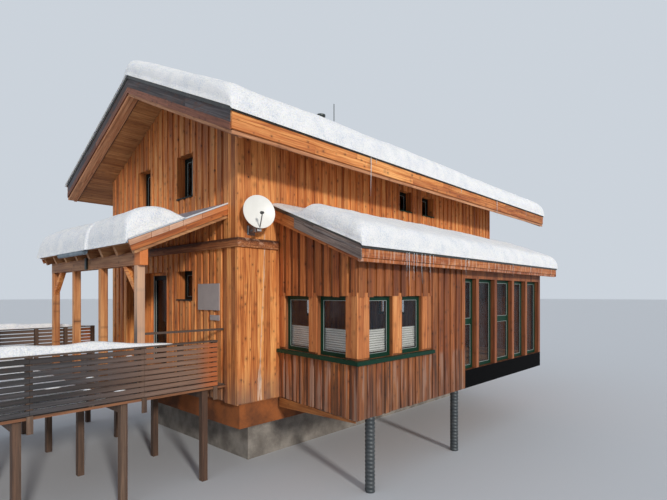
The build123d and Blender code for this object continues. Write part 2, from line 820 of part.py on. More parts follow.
with BuildPart() as annex_columns:
    with BuildSketch(level(0)):
        with Locations(*[(column_across, depth) for depth in column_depths]):
            Circle(column_radius)
    extrude(amount=annex_floor_underside)
annex_columns.part.label = "annex_columns"

# Porch
rafter_under = porch_metal + porch_board
rafter_first = porch_left + porch_verge_thickness
rafter_last = porch_right - porch_verge_thickness - rafter_width
rafter_step = (rafter_last - rafter_first) / (rafter_count - 1)
with BuildPart() as porch_rafters:
    for place in range(rafter_count):
        with BuildSketch(flank(rafter_first + place * rafter_step)):
            porch_timber(rafter_reach, rafter_under, rafter_height)
        extrude(amount=rafter_width)
porch_rafters.part.label = "porch_rafters"

porch_beam_back = porch_beam_front - porch_beam_thickness
beam_under = rafter_under + rafter_height
with BuildPart() as porch_beam:
    with BuildSketch(flank(porch_beam_left)):
        outline((-porch_beam_front, porch_beam_bottom), (-porch_beam_back, porch_beam_bottom),
                (-porch_beam_back, porch_height(porch_beam_back, beam_under)),
                (-porch_beam_front, porch_height(porch_beam_front, beam_under)))
    extrude(amount=porch_beam_right - porch_beam_left)
porch_beam.part.label = "porch_beam"

post_depth = -porch_beam_front + post_size / 2
with BuildPart() as porch_posts:
    with BuildSketch(level(deck_top)):
        with Locations(*[(place, post_depth) for place in post_places]):
            Rectangle(post_size, post_size)
    extrude(amount=porch_beam_bottom - deck_top)
porch_posts.part.label = "porch_posts"

brace_cut = brace_thickness * 1.41
with BuildPart() as porch_braces:
    with BuildSketch(upright(post_depth - brace_thickness / 2)):
        for place, turn in ((post_places[0] + post_size / 2, 1), (post_places[-1] - post_size / 2, -1)):
            outline((place, porch_beam_bottom - brace_reach),
                    (place, porch_beam_bottom - brace_reach + brace_cut),
                    (place + turn * (brace_reach - brace_cut), porch_beam_bottom),
                    (place + turn * brace_reach, porch_beam_bottom))
    extrude(amount=-brace_thickness)
porch_braces.part.label = "porch_braces"

# Terrace
bearer_top = deck_top - deck_board
bearer_foot = bearer_top - bearer_height
with BuildPart() as deck_boards:
    with BuildSketch(level(deck_top - deck_board)):
        panel(deck_left, deck_right, -deck_reach, -corner_board_depth)
        panel(deck_left, -lower_corner_width, -corner_board_depth, 0)
    extrude(amount=deck_board)
deck_boards.part.label = "deck_boards"

with BuildPart() as deck_bearers:
    with BuildSketch(level(bearer_foot)):
        for depth in pier_depths:
            panel(pier_places[0] - pier_size / 2, pier_places[-1] + pier_size / 2,
                  -depth - bearer_width / 2, -depth + bearer_width / 2)
    extrude(amount=bearer_height)
deck_bearers.part.label = "deck_bearers"

with BuildPart() as deck_piers:
    with BuildSketch(level(0)):
        for depth in pier_depths:
            with Locations(*[(place, -depth) for place in pier_places]):
                Rectangle(pier_size, pier_size)
    extrude(amount=bearer_foot)
deck_piers.part.label = "deck_piers"

slat_near = fence_post_depths[0] - fence_post_size / 2
slat_far = fence_post_depths[-1] + fence_post_size / 2
fence_lines = ((deck_right, 1), (deck_left, -1))
with BuildPart() as fence_slats:
    for edge, turn in fence_lines:
        with BuildSketch(flank(edge)):
            for row in range(slat_count):
                low = slat_start + row * slat_pitch
                panel(-slat_far, -slat_near, low, low + slat_height)
        extrude(amount=turn * slat_thickness)
fence_slats.part.label = "fence_slats"

with BuildPart() as fence_posts:
    with BuildSketch(level(deck_top)):
        for edge, turn in fence_lines:
            with Locations(*[(edge - turn * fence_post_size / 2, -depth) for depth in fence_post_depths]):
                Rectangle(fence_post_size, fence_post_size)
    extrude(amount=fence_top - deck_top)
fence_posts.part.label = "fence_posts"

with BuildPart() as fence_rails:
    with BuildSketch(level(fence_top)):
        right_cap = deck_right + slat_thickness + cap_overhang
        left_cap = deck_left - slat_thickness - cap_overhang
        panel(right_cap - cap_rail_width, right_cap, -slat_far, -slat_near)
        panel(left_cap, left_cap + cap_rail_width, -slat_far, -slat_near)
    extrude(amount=cap_rail_thickness)
    with BuildSketch(upright(0)):
        with Locations((post_places[-1], handrail_height)):
            Rectangle(handrail_size, handrail_size)
    extrude(amount=porch_beam_back)
fence_rails.part.label = "fence_rails"

# Snow lying on the roofs, with openings round the vent and the mast
snow_end = roof_span - snow_set_back
snow_back = verge_back + snow_set_back
annex_snow_end = annex_eave - snow_set_back
annex_snow_flat = annex_snow_end - 2 * snow_round
annex_snow_full = annex_snow_start + annex_snow_rise
with BuildPart() as annex_snow:
    with BuildSketch(level(0)):
        outline((0, annex_front(0, snow_back)), (annex_snow_end, annex_front(annex_snow_end, snow_back)),
                (annex_snow_end, annex_roof_end - snow_set_back), (0, annex_roof_end - snow_set_back))
    extrude(amount=2 * annex_tall)
    with BuildSketch(upright(0)):
        outline((0, annex_height(0)), (annex_snow_end, annex_height(annex_snow_end)),
                (annex_snow_end, annex_height(annex_snow_end, -annex_snow_depth / 2)),
                (annex_snow_end - snow_round / 2, annex_height(annex_snow_end, -annex_snow_depth * 0.9)),
                (annex_snow_flat, annex_height(annex_snow_flat, -annex_snow_depth)),
                (annex_snow_full, annex_height(annex_snow_full, -annex_snow_depth)),
                (annex_snow_start, annex_height(annex_snow_start, -annex_snow_thin)),
                (0, annex_height(0, -annex_snow_thin)))
    extrude(amount=-annex_roof_end, mode=Mode.INTERSECT)

with BuildPart() as roof_snow:
    with BuildSketch(upright(-front_overhang + snow_set_back)):
        rise = snow_depth
        outline((ridge - snow_end, roof_height(ridge - snow_end)), (ridge, ridge_top),
                (ridge + snow_end, roof_height(ridge + snow_end)),
                (ridge + snow_end, roof_height(ridge + snow_end, -rise + snow_round)),
                (ridge + snow_end - snow_round / 2, roof_height(ridge + snow_end, -rise + snow_round / 4)),
                (ridge + snow_end - 2 * snow_round, roof_height(ridge + snow_end - 2 * snow_round, -rise)),
                (ridge + snow_round, roof_height(ridge + snow_round, -rise)),
                (ridge, roof_height(ridge + snow_round, -rise)),
                (ridge - snow_round * 0.75, ridge_top + rise / 2),
                (ridge - snow_round, roof_height(ridge - snow_round, -snow_thin)),
                (ridge - snow_end, roof_height(ridge - snow_end, -snow_thin)))
    extrude(amount=-(house_length + front_overhang + rear_overhang - 2 * snow_set_back))
    with BuildSketch(level(wall_foot)):
        with Locations((vent_across, vent_depth)):
            Circle(vent_radius * 1.4 + snow_clearance)
        with Locations((vent_across, mast_depth)):
            Circle(mast_radius + snow_clearance)
    extrude(amount=mast_top, mode=Mode.SUBTRACT)
    with BuildSketch(flank(porch_left + snow_set_back)):
        outline((-porch_snow_end, porch_height(porch_snow_end)),
                (-porch_snow_end - porch_snow_rise * 0.27,
                 porch_height(porch_snow_end + porch_snow_rise * 0.27, -porch_snow_depth * 0.45)),
                (-porch_snow_end - porch_snow_rise * 0.6,
                 porch_height(porch_snow_end + porch_snow_rise * 0.6, -porch_snow_depth * 0.83)),
                (-porch_snow_end - porch_snow_rise,
                 porch_height(porch_snow_end + porch_snow_rise, -porch_snow_depth)),
                (-porch_reach + porch_snow_fall,
                 porch_height(porch_reach - porch_snow_fall, -porch_snow_depth)),
                (-porch_reach + porch_snow_fall / 5,
                 porch_height(porch_reach - porch_snow_fall / 5, -porch_snow_depth * 0.75)),
                (-porch_reach, porch_height(porch_reach, -porch_snow_depth * 0.3)),
                (-porch_reach, porch_height(porch_reach)))
    extrude(amount=porch_right - porch_left - 2 * snow_set_back)
    add(annex_snow.part)
roof_snow.part.label = "roof_snow"

# Snow on the terrace in front of the porch, and on the cap rails
cap_top = fence_top + cap_rail_thickness
right_cap_middle = right_cap - cap_rail_width / 2
left_cap_middle = left_cap + cap_rail_width / 2
with BuildPart() as terrace_snow:
    with BuildSketch(level(deck_top)):
        panel(deck_left + fence_post_size, deck_right - fence_post_size, -slat_far, -deck_snow_start)
    extrude(amount=deck_snow_depth)
    with BuildSketch(level(cap_top)):
        for middle in (left_cap_middle, right_cap_middle):
            panel(middle - cap_snow_width / 2, middle + cap_snow_width / 2, -slat_far, -cap_snow_start)
    extrude(amount=cap_snow_depth)
terrace_snow.part.label = "terrace_snow"

# Vent and mast standing on the right roof slope
with BuildPart() as roof_vent:
    with BuildSketch(level(wall_foot)):
        with Locations((vent_across, vent_depth)):
            Circle(vent_radius)
    extrude(amount=vent_top - wall_foot)
    with BuildSketch(level(vent_top - vent_cap)):
        with Locations((vent_across, vent_depth)):
            Circle(vent_radius * 1.4)
    extrude(amount=vent_cap)
    with BuildSketch(level(wall_foot)):
        with Locations((vent_across, mast_depth)):
            Circle(mast_radius)
    extrude(amount=mast_top - wall_foot)
    with BuildSketch(upright(0)):
        outline((ridge, 0), (ridge + roof_span, 0), (ridge + roof_span, roof_height(ridge + roof_span)),
                (ridge, ridge_top))
    extrude(amount=-house_length, mode=Mode.SUBTRACT)
roof_vent.part.label = "roof_vent"

# Satellite dish on an arm from the long wall
dish_centre = Vector(corner_x + dish_across, corner_y + dish_along, dish_height)
dish_aim = Vector(1, 0, 0).rotate(Axis.Y, -dish_tilt).rotate(Axis.Z, -dish_turn)
dish_plane = Plane(origin=dish_centre, z_dir=dish_aim)
bowl_radius = (dish_radius ** 2 + dish_depth ** 2) / (2 * dish_depth)
with BuildPart() as satellite_dish:
    with BuildSketch(Plane(origin=dish_centre, x_dir=dish_plane.x_dir, z_dir=-dish_plane.y_dir)):
        with BuildLine():
            rim = dish_radius
            halfway = bowl_radius - (bowl_radius ** 2 - (rim / 2) ** 2) ** 0.5
            ThreePointArc((0, 0), (rim / 2, halfway), (rim, dish_depth))
            Line((rim, dish_depth), (rim, dish_depth - dish_skin))
            ThreePointArc((rim, dish_depth - dish_skin), (rim / 2, halfway - dish_skin), (0, -dish_skin))
            Line((0, -dish_skin), (0, 0))
        make_face()
    revolve(axis=Axis(dish_centre, dish_aim))
satellite_dish.part.label = "satellite_dish"

back_point = dish_centre - dish_aim * (dish_skin + 0.3)
stub_end = back_point - dish_aim * dish_stub
arm_across = stub_end.X - corner_x
arm_along = stub_end.Y - corner_y
with BuildPart() as dish_arm:
    with BuildSketch(flank(0)):
        with Locations((arm_along, dish_arm_height)):
            Rectangle(dish_plate[1], dish_plate[2])
    extrude(amount=dish_plate[0])
    with BuildSketch(flank(0)):
        with Locations((arm_along, dish_arm_height)):
            Circle(dish_arm_radius)
    extrude(amount=arm_across)
    with BuildSketch(level(dish_arm_height - dish_arm_radius)):
        with Locations((arm_across, arm_along)):
            Circle(dish_arm_radius)
    extrude(amount=stub_end.Z - dish_arm_height + 2 * dish_arm_radius)
    with BuildSketch(Plane(origin=back_point, z_dir=-dish_aim)):
        Circle(dish_stub_radius)
    extrude(amount=dish_stub)
dish_arm.part.label = "dish_arm"

# Bare sign board and small plate on the front wall
with BuildPart() as sign_board:
    with BuildSketch(upright(-sign_standoff)):
        panel(*sign_box)
        panel(*plate_box)
    extrude(amount=sign_thickness)
    for left, right, bottom, top in (sign_box, plate_box):
        with BuildSketch(upright(0)):
            with Locations(((left + right) / 2, (bottom + top) / 2)):
                Rectangle((right - left) / 2, (top - bottom) / 2)
        extrude(amount=sign_standoff)
sign_board.part.label = "sign_board"

everything = [
    foundation_slab, plinth_walls, house_floors, front_wall_left, front_wall_right, front_gable_wall,
    rear_wall, side_wall_upper, side_wall_lower, left_wall, corner_boards, belt_beam, main_roof_right,
    main_roof_left, verge_boards, eave_fascias, roof_metal, window_frames, annex_window_sill, window_panes,
    door_frame, door_leaf, door_glass, door_handle, annex_front_wall, annex_side_wall, annex_glazed_frame,
    annex_rear_wall, annex_floor, lean_to_roofs, lean_to_roof_edges, annex_blinds, annex_columns,
    porch_rafters, porch_beam, porch_posts, porch_braces, deck_boards, deck_bearers, deck_piers,
    fence_slats, fence_posts, fence_rails, roof_snow, terrace_snow, roof_vent, satellite_dish, dish_arm,
    sign_board]

for piece in everything:
    export_step(piece.part, f"parts/{piece.part.label}.step")

print("door hinge axis in metres", (corner_x + hinge_x) / 1000, (corner_y + hinge_y) / 1000,
      leaf_bottom / 1000, leaf_top / 1000)
print("near corner in metres", corner_x / 1000, corner_y / 1000)
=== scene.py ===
import math
import random

import bmesh
import bpy
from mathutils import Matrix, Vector, noise


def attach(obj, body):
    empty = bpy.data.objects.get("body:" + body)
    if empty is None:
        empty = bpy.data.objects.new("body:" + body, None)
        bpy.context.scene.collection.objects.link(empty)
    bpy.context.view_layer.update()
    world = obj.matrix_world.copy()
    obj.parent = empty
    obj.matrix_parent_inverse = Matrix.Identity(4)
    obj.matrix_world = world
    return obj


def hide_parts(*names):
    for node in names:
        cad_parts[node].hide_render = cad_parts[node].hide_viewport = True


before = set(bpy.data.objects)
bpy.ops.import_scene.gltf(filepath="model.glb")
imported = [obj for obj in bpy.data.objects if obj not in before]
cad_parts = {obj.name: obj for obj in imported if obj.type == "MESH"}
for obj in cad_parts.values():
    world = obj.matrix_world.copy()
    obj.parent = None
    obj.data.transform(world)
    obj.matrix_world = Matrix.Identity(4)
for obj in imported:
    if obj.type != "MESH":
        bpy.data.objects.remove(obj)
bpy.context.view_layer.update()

# Places are in metres from the near corner of the house: across, depth and height above the ground
CORNER = Vector((2.175, -4.315, 0))
ACROSS, DEPTH, UP = Vector((1, 0, 0)), Vector((0, 1, 0)), Vector((0, 0, 1))

HOUSE_WIDTH, HOUSE_LENGTH = 6.10, 11.30
CLAD_FOOT = 1.53
BELT_FOOT, BELT_HEAD, SIDE_BELT_HEAD = 4.66, 4.70, 4.82
RIDGE_X, RIDGE_TOP = -HOUSE_WIDTH / 2, 8.72
SLOPE = 0.45
ROOF_DEPTH = 0.45
SPAN = HOUSE_WIDTH / 2 + 1.05
VERGE_FRONT, VERGE_REAR = -0.88, HOUSE_LENGTH + 2.64
FASCIA_BACK = 0.045
EAVE_RUN = SPAN - FASCIA_BACK

ANNEX_WIDTH = 2.50
ANNEX_NEAR, ANNEX_FAR = 1.05, 0.68
ANNEX_REAR = 9.43
ANNEX_TOP, ANNEX_SLOPE = 5.59, 0.375
ANNEX_EAVE, ANNEX_ROOF_END = 2.80, 9.97
ANNEX_VERGE = -0.205
ANNEX_CLAD_TOP = 0.3
ANNEX_TURN = math.atan2(ANNEX_NEAR - ANNEX_FAR, ANNEX_WIDTH)
ANNEX_ALONG = Vector((math.cos(ANNEX_TURN), -math.sin(ANNEX_TURN), 0))
ANNEX_OUT = Vector((-math.sin(ANNEX_TURN), -math.cos(ANNEX_TURN), 0))
WINDOW_LOW, WINDOW_HIGH = 2.55, 3.67
GLAZING_FOOT = 1.93

PORCH_TOP, PORCH_SLOPE = 5.57, 0.445
PORCH_LEFT, PORCH_RIGHT = -5.34, -0.31
PORCH_REACH, PORCH_EDGE = 2.05, 0.045
PORCH_POSTS = (-5.17, -3.73, -2.20, -0.54)
PORCH_BEAM, PORCH_JOINT = (-5.25, -0.37), -2.88
PORCH_FRONT, PORCH_BACK = -1.815, -1.665
BEAM_FOOT = 4.22
DECK_TOP = 1.87
FENCE_RIGHT, FENCE_LEFT = -0.375, -6.90

# A wall is its start, the way along it and the way out of it
FRONT = (Vector(), ACROSS, -DEPTH)
SIDE = (Vector(), DEPTH, ACROSS)
LEFT = (ACROSS * -HOUSE_WIDTH, DEPTH, -ACROSS)
REAR = (DEPTH * HOUSE_LENGTH, ACROSS, DEPTH)
ANNEX_FRONT = (DEPTH * ANNEX_NEAR, ANNEX_ALONG, ANNEX_OUT)
ANNEX_SIDE = (ACROSS * ANNEX_WIDTH, DEPTH, ACROSS)
ANNEX_BACK = (DEPTH * ANNEX_REAR, ACROSS, DEPTH)

# Openings are left, right, bottom and top along their wall
UPPER_WINDOWS = [(-4.42, -3.76, 5.88, 6.88), (-2.40, -1.72, 5.88, 6.88)]
TALL_WINDOW, SMALL_WINDOW = (-5.16, -4.50, 1.95, 4.24), (-2.40, -1.75, 3.56, 4.24)
DOORWAY = (-4.09, -2.93, 1.95, 4.24)
SIDE_WINDOWS = [(5.47, 6.09, 6.08, 6.69), (6.67, 7.29, 6.08, 6.69)]
LEFT_WINDOWS = SIDE_WINDOWS + [(2.40, 3.50, 2.85, 4.24), (7.40, 8.50, 2.85, 4.24)]
REAR_WINDOWS = UPPER_WINDOWS + [(-5.00, -3.60, 2.85, 4.24), SMALL_WINDOW]
ANNEX_WINDOWS = [(ANNEX_FRONT, 0.25, 1.10), (ANNEX_FRONT, 1.39, 2.22), (ANNEX_SIDE, 1.00, 1.69),
                 (ANNEX_SIDE, 2.00, 2.70)]
BAYS = ((4.52, 5.14), (5.28, 6.17), (6.31, 7.28), (7.42, 8.23), (8.37, 9.29))


def roof_z(x, below=0.0):
    """Height of the main roof's top, or of a line below it."""
    return RIDGE_TOP - below - SLOPE * abs(x - RIDGE_X)


def annex_z(x, below=0.0):
    return ANNEX_TOP - below - ANNEX_SLOPE * x


def annex_y(x, back=0.0):
    """Depth of the annex's askew front at a distance across, or of a line behind it."""
    return ANNEX_NEAR - (ANNEX_NEAR - ANNEX_FAR) * x / ANNEX_WIDTH + back


def porch_z(y, below=0.0):
    return PORCH_TOP - below + PORCH_SLOPE * y


def share(value):
    """A value kept between 0 and 1."""
    return min(1.0, max(0.0, value))


# Writing materials


def as_light(colour):
    """A shader's value for a colour of three numbers from 0 to 255, as it looks. Four numbers stay."""
    if len(colour) == 4:
        return colour
    parts = [v / 255 for v in colour]
    return (*[v / 12.92 if v <= 0.04045 else ((v + 0.055) / 1.055) ** 2.4 for v in parts], 1.0)


class Nodes:
    """A node tree that is written one call at a time."""

    def __init__(self, tree):
        self.tree = tree

    def node(self, kind, inputs=(), **settings):
        made = self.tree.nodes.new(kind)
        for key, value in settings.items():
            setattr(made, key, value)
        for key, value in dict(inputs).items():
            self.put(made.inputs[key], value)
        return made

    def put(self, socket, value):
        if isinstance(value, bpy.types.NodeSocket):
            self.tree.links.new(value, socket)
        else:
            socket.default_value = as_light(value) if socket.type == "RGBA" else value

    def math(self, operation, a, b=0.0):
        return self.node("ShaderNodeMath", {0: a, 1: b}, operation=operation).outputs[0]

    def times(self, first, *others):
        for value in others:
            first = self.math("MULTIPLY", first, value)
        return first

    def sum(self, *terms):
        """The sum of values, each alone or in a pair with its share."""
        values = [self.times(*term) if isinstance(term, tuple) else term for term in terms]
        total = values[0]
        for value in values[1:]:
            total = self.math("ADD", total, value)
        return total


class Shader(Nodes):
    """A material, with the point that is shaded as spot, x, y and z in the part's own frame."""

    def __init__(self, name, **sockets):
        self.mat = bpy.data.materials.new(name)
        self.mat.use_nodes = True
        super().__init__(self.mat.node_tree)
        self.skin = self.tree.nodes["Principled BSDF"]
        self.spot = self.node("ShaderNodeTexCoord").outputs["Object"]
        self.x, self.y, self.z = self.node("ShaderNodeSeparateXYZ", {0: self.spot}).outputs
        for key, value in sockets.items():
            self.set(key.replace("_", " "), value)

    def set(self, key, value):
        self.put(self.skin.inputs[key], value)

    def scaled(self, vector, scale):
        return self.node("ShaderNodeVectorMath", {0: vector, 1: scale}, operation="MULTIPLY").outputs[0]

    def noise(self, scale, detail=3.0, rough=0.55, at=None):
        """Noise from 0 to 1 at the shaded point or another. scale is one number, or one for each axis."""
        at = self.spot if at is None else at
        if isinstance(scale, tuple):
            at, scale = self.scaled(at, scale), 1.0
        made = self.node("ShaderNodeTexNoise",
                         {"Vector": at, "Scale": scale, "Detail": detail, "Roughness": rough})
        return made.outputs["Fac"]

    def ranged(self, value, low, high, to_low=0.0, to_high=1.0):
        """A smooth step from to_low to to_high while value goes from low to high."""
        made = self.node("ShaderNodeMapRange", {0: value, 1: low, 2: high, 3: to_low, 4: to_high},
                         interpolation_type="SMOOTHSTEP")
        return made.outputs["Result"]

    def mix(self, factor, a, b, blend="MIX"):
        made = self.node("ShaderNodeMix", {0: factor, 6: a, 7: b}, data_type="RGBA", blend_type=blend)
        return made.outputs[2]

    def ramp(self, factor, *stops):
        made = self.node("ShaderNodeValToRGB", {"Fac": factor})
        points = made.color_ramp.elements
        while len(points) < len(stops):
            points.new(0.5)
        for point, (place, colour) in zip(points, stops):
            point.position = place
            point.color = as_light(colour)
        return made.outputs["Color"]

    def bump(self, height, distance, strength):
        made = self.node("ShaderNodeBump", {"Height": height, "Distance": distance, "Strength": strength})
        self.set("Normal", made.outputs[0])


def wood(name, palette, grain=None, board=0.16, knots=1.0, weather=None, roughness=0.62, tone_spread=1.0,
         shade=None):
    """Planed boards in a palette of pale, middle and dark. The grain runs along the mesh's own grain
    attribute, or along the axis x, y or z in boards of one width. weather is (colour, low, high, amount):
    a stain that grows from the height high down to low. shade adds what only this timber shows."""
    s = Shader(name, Roughness=roughness)
    pale, mid, dark = palette
    if grain is None:
        line = s.node("ShaderNodeAttribute", attribute_name="grain").outputs["Vector"]
        tone = s.node("ShaderNodeAttribute", attribute_name="tone").outputs["Fac"]
    else:
        length, width, thick = {"x": (s.x, s.y, s.z), "y": (s.y, s.x, s.z), "z": (s.z, s.x, s.y)}[grain]
        row = s.math("FLOOR", s.math("DIVIDE", s.sum(width, thick) if grain == "z" else thick, board))
        tone = s.node("ShaderNodeTexWhiteNoise", {"W": row}, noise_dimensions="1D").outputs["Value"]
        line = s.node("ShaderNodeCombineXYZ", {0: s.sum(length, (tone, 9.0)), 1: width, 2: thick}).outputs[0]
    wander = s.noise((0.9, 2.5, 2.5), 2.0, at=line)
    sideways = s.node("ShaderNodeCombineXYZ", {1: s.times(wander, 0.05)}).outputs[0]
    bent = s.node("ShaderNodeVectorMath", {0: line, 1: sideways}, operation="ADD").outputs[0]
    streaks = s.noise((1.1, 34, 34), 4.0, 0.6, at=bent)
    fibres = s.noise((5, 210, 210), 2.0, at=bent)
    broad = s.noise((0.55, 4, 4), 2.0, at=line)
    colour = s.ramp(s.sum((streaks, 0.62), (broad, 0.38)), (0.33, dark), (0.46, mid), (0.60, pale))
    colour = s.mix(s.ranged(fibres, 0.35, 0.65, 0.0, 0.25), colour, dark)
    shift = s.ramp(tone, (0.0, (0.62, 0.56, 0.52, 1)), (0.25, (0.86, 0.78, 0.74, 1)), (0.55, (1, 1, 1, 1)),
                   (0.8, (1.10, 1.12, 1.12, 1)), (1.0, (1.16, 1.28, 1.36, 1)))
    colour = s.mix(tone_spread, colour, s.mix(1.0, colour, shift, "MULTIPLY"))
    cells = s.node("ShaderNodeTexVoronoi", {"Vector": s.scaled(line, (5.4, 6.6, 6.6)), "Scale": 1.0},
                   voronoi_dimensions="2D" if grain is None else "3D")
    chosen, girth, deep = s.node("ShaderNodeSeparateColor", {0: cells.outputs["Color"]}).outputs[:3]
    away = s.math("DIVIDE", cells.outputs["Distance"], s.ranged(girth, 0.0, 1.0, 0.45, 1.25))
    heart = s.times(s.ranged(away, 0.07, 0.15, 1.0, 0.0), s.ranged(deep, 0.0, 1.0, 0.35, 1.0))
    knot = s.times(s.math("MAXIMUM", heart, s.ranged(away, 0.12, 0.42, 0.32, 0.0)),
                   s.ranged(chosen, 0.50, 0.54), 0.9 * knots)
    colour = s.mix(knot, colour, (66, 32, 15))
    if weather:
        stain, low, high, amount = weather
        patch = s.noise((3.0, 3.0, 0.7), 4.0)
        fade = 0.4 * (high - low)
        reach = s.ranged(s.sum(s.z, (patch, 2 * fade)), low + fade, high + fade, amount, 0.0)
        colour = s.mix(s.times(reach, s.ranged(patch, 0.3, 0.65, 0.5, 1.0)), colour, stain)
    if shade:
        colour = shade(s, colour)
    s.set("Base Color", colour)
    s.bump(s.sum((streaks, 0.6), (fibres, 0.4)), 0.004, 0.55)
    return s.mat


def painted(name, colour, worn, roughness=0.42, metallic=0.0, amount=0.35, scale=3.0, shine=0.5):
    """A coat of paint or a metal skin with patches of wear."""
    s = Shader(name, Roughness=roughness, Metallic=metallic, Specular_IOR_Level=shine)
    fine = s.noise(scale * 22)
    wear = s.ranged(s.sum(s.noise(scale, 5.0, 0.6), (fine, 0.25)), 0.45, 0.85, 0.0, amount)
    s.set("Base Color", s.mix(wear, colour, worn))
    s.bump(fine, 0.0008, 0.6)
    return s.mat


def plaster(name, colour, dark):
    s = Shader(name, Roughness=0.9)
    pits = s.noise(60.0, 4.0, 0.65)
    s.set("Base Color", s.mix(s.ranged(s.sum(s.noise(2.0, 5.0, 0.6), (pits, 0.3)), 0.45, 0.85), colour, dark))
    s.bump(pits, 0.006, 0.7)
    return s.mat


def snow_skin():
    s = Shader("snow", Roughness=0.82, Subsurface_Weight=0.12, Subsurface_Radius=(0.03, 0.035, 0.05))
    nubs = s.noise(42.0, 3.0, 0.6)
    s.set("Base Color", s.ramp(s.sum((s.noise(3.2, 4.0), 0.35), (nubs, 0.65)), (0.36, (212, 219, 229)),
                               (0.48, (238, 240, 243)), (0.60, (250, 250, 250))))
    s.bump(s.sum((s.noise(21.0, 4.0, 0.6), 0.35), (nubs, 0.5), (s.noise(140.0, 2.0), 0.15)), 0.045, 0.8)
    return s.mat


# What single timbers show besides their grain


def run_off_stain_and_gable_shade(s, colour):
    """A pale run-off stain down the corner boards under the dish, and painted shade darkening the gable under
    its roof.
    """
    stain_foot, stain_head = 1.6, 4.95
    middle = s.sum(s.ranged(s.z, stain_foot, 4.9, CORNER.y + 0.47, CORNER.y + 0.60),
                   (s.noise((2.0, 9.0, 2.5)), 0.06))
    away = s.math("ABSOLUTE", s.math("SUBTRACT", s.y, middle))
    on_line = s.math("LESS_THAN", away, s.ranged(s.z, stain_foot, 2.5, 0.055, 0.014))
    on_side = s.math("GREATER_THAN", s.x, CORNER.x + 0.002)
    streak = s.ranged(s.noise((20.0, 60.0, 3.0)), 0.35, 0.6)
    stain = s.times(on_line, on_side, s.math("LESS_THAN", s.z, stain_head), streak, 0.70)
    colour = s.mix(stain, colour, (232, 210, 190))
    # Painted shade: the gable front grows darker towards the roof overhang above it
    from_ridge = s.math("ABSOLUTE", s.math("SUBTRACT", s.x, CORNER.x + RIDGE_X))
    below_roof = s.sum(RIDGE_TOP, (from_ridge, -SLOPE), (s.z, -1.0))
    on_front = s.ranged(s.y, CORNER.y + 0.001, CORNER.y + 0.02, 1.0, 0.0)
    left_of_corner = s.math("LESS_THAN", s.x, CORNER.x - 0.2)
    painted_gable_shade = s.times(on_front, s.ranged(below_roof, 0.45, 2.4, 0.42, 0.0), left_of_corner)
    return s.mix(painted_gable_shade, colour, (84, 40, 14))


def annex_wear_and_side_shade(s, colour):
    """Boards bleached and wet in streaks under the sill, and painted shade darkening the annex's side."""
    streak = s.noise((8.5, 8.5, 0.6))
    side = CORNER.x + ANNEX_WIDTH
    below_sill = s.ranged(s.z, WINDOW_LOW - 0.15, WINDOW_LOW - 0.05, 1.0, 0.0)
    on_side = s.ranged(s.x, side - 0.04, side - 0.02)
    colour = s.mix(s.times(below_sill, s.ranged(streak, 0.50, 0.60), 0.60), colour, (170, 140, 122))
    colour = s.mix(s.times(below_sill, s.ranged(streak, 0.36, 0.49, 1.0, 0.0), 0.75), colour, (58, 36, 24))
    # Painted shade along the annex's side
    return s.mix(s.times(on_side, s.ranged(streak, 0.40, 0.60, 0.52, 0.26)), colour, (44, 22, 10))


def frost_streaks(s, colour):
    """Pale streaks down the eave boards of the annex where drips freeze and dry."""
    streak = s.noise((1.0, 11.0, 1.6), 4.0, 0.65)
    eave = CORNER.x + ANNEX_EAVE
    at_eave = s.ranged(s.x, eave - 0.10, eave - 0.08)
    colour = s.mix(s.times(at_eave, s.ranged(streak, 0.50, 0.60, 0.0, 0.6)), colour, (206, 170, 148))
    return s.mix(s.times(at_eave, s.ranged(streak, 0.36, 0.46, 0.55, 0.0)), colour, (104, 56, 28))


def dark_band(s, colour):
    """Dark boards on the band under the glazing, nearly black partly as painted shade."""
    low, high = GLAZING_FOOT - 0.005, GLAZING_FOOT + 0.005
    s.set("Specular IOR Level", s.ranged(s.z, low, high, 0.02, 0.5))
    band = s.mix(s.noise((3, 3, 40)), (6, 7, 8), (18, 17, 18))
    return s.mix(s.ranged(s.z, low, high, 1.0, 0.0), colour, band)


def worn_red(s, colour):
    """Patches of old red stain on the weathered verge."""
    return s.mix(s.ranged(s.noise((1.6, 1.6, 5.0), 5.0, 0.7), 0.5, 0.66, 0.0, 0.8), colour, (84, 56, 46))


def pale_post(s, colour):
    """The post at the right is bleached, and grey from its foot to half its height, partly wet and partly
    painted shade.
    """
    post = CORNER.x + PORCH_POSTS[-1]
    right = s.ranged(s.x, post - 0.20, post - 0.18)
    wet = s.ranged(s.sum(s.z, s.noise((5.0, 5.0, 1.2), 4.0)), 3.4, 4.3, 0.9, 0.0)
    # Painted shade: the grey stays off the right face, which faces the light
    shaded_faces = s.ranged(s.x, post + 0.055, post + 0.066, 1.0, 0.1)
    colour = s.mix(s.times(right, 0.45), colour, (214, 190, 168))
    return s.mix(s.times(wet, right, shaded_faces), colour, (84, 78, 76))


def fresh_by_wall(s, colour):
    """Edge boards keep their orange near the wall, out of the weather."""
    near = s.sum(s.y, (s.noise((6, 1.5, 6), 2.0), 0.3))
    return s.mix(s.ranged(near, CORNER.y - 0.9, CORNER.y - 0.1, 0.0, 0.8), colour, (206, 122, 60))


def painted_sunlit_beam_end(s, colour):
    """Painted sunlight: the beam's right end, which stands in the sun, is painted orange."""
    beam_end = CORNER.x + PORCH_BEAM[1]
    return s.mix(s.ranged(s.x, beam_end - 0.29, beam_end - 0.15, 0.0, 0.75), colour, (226, 128, 60))


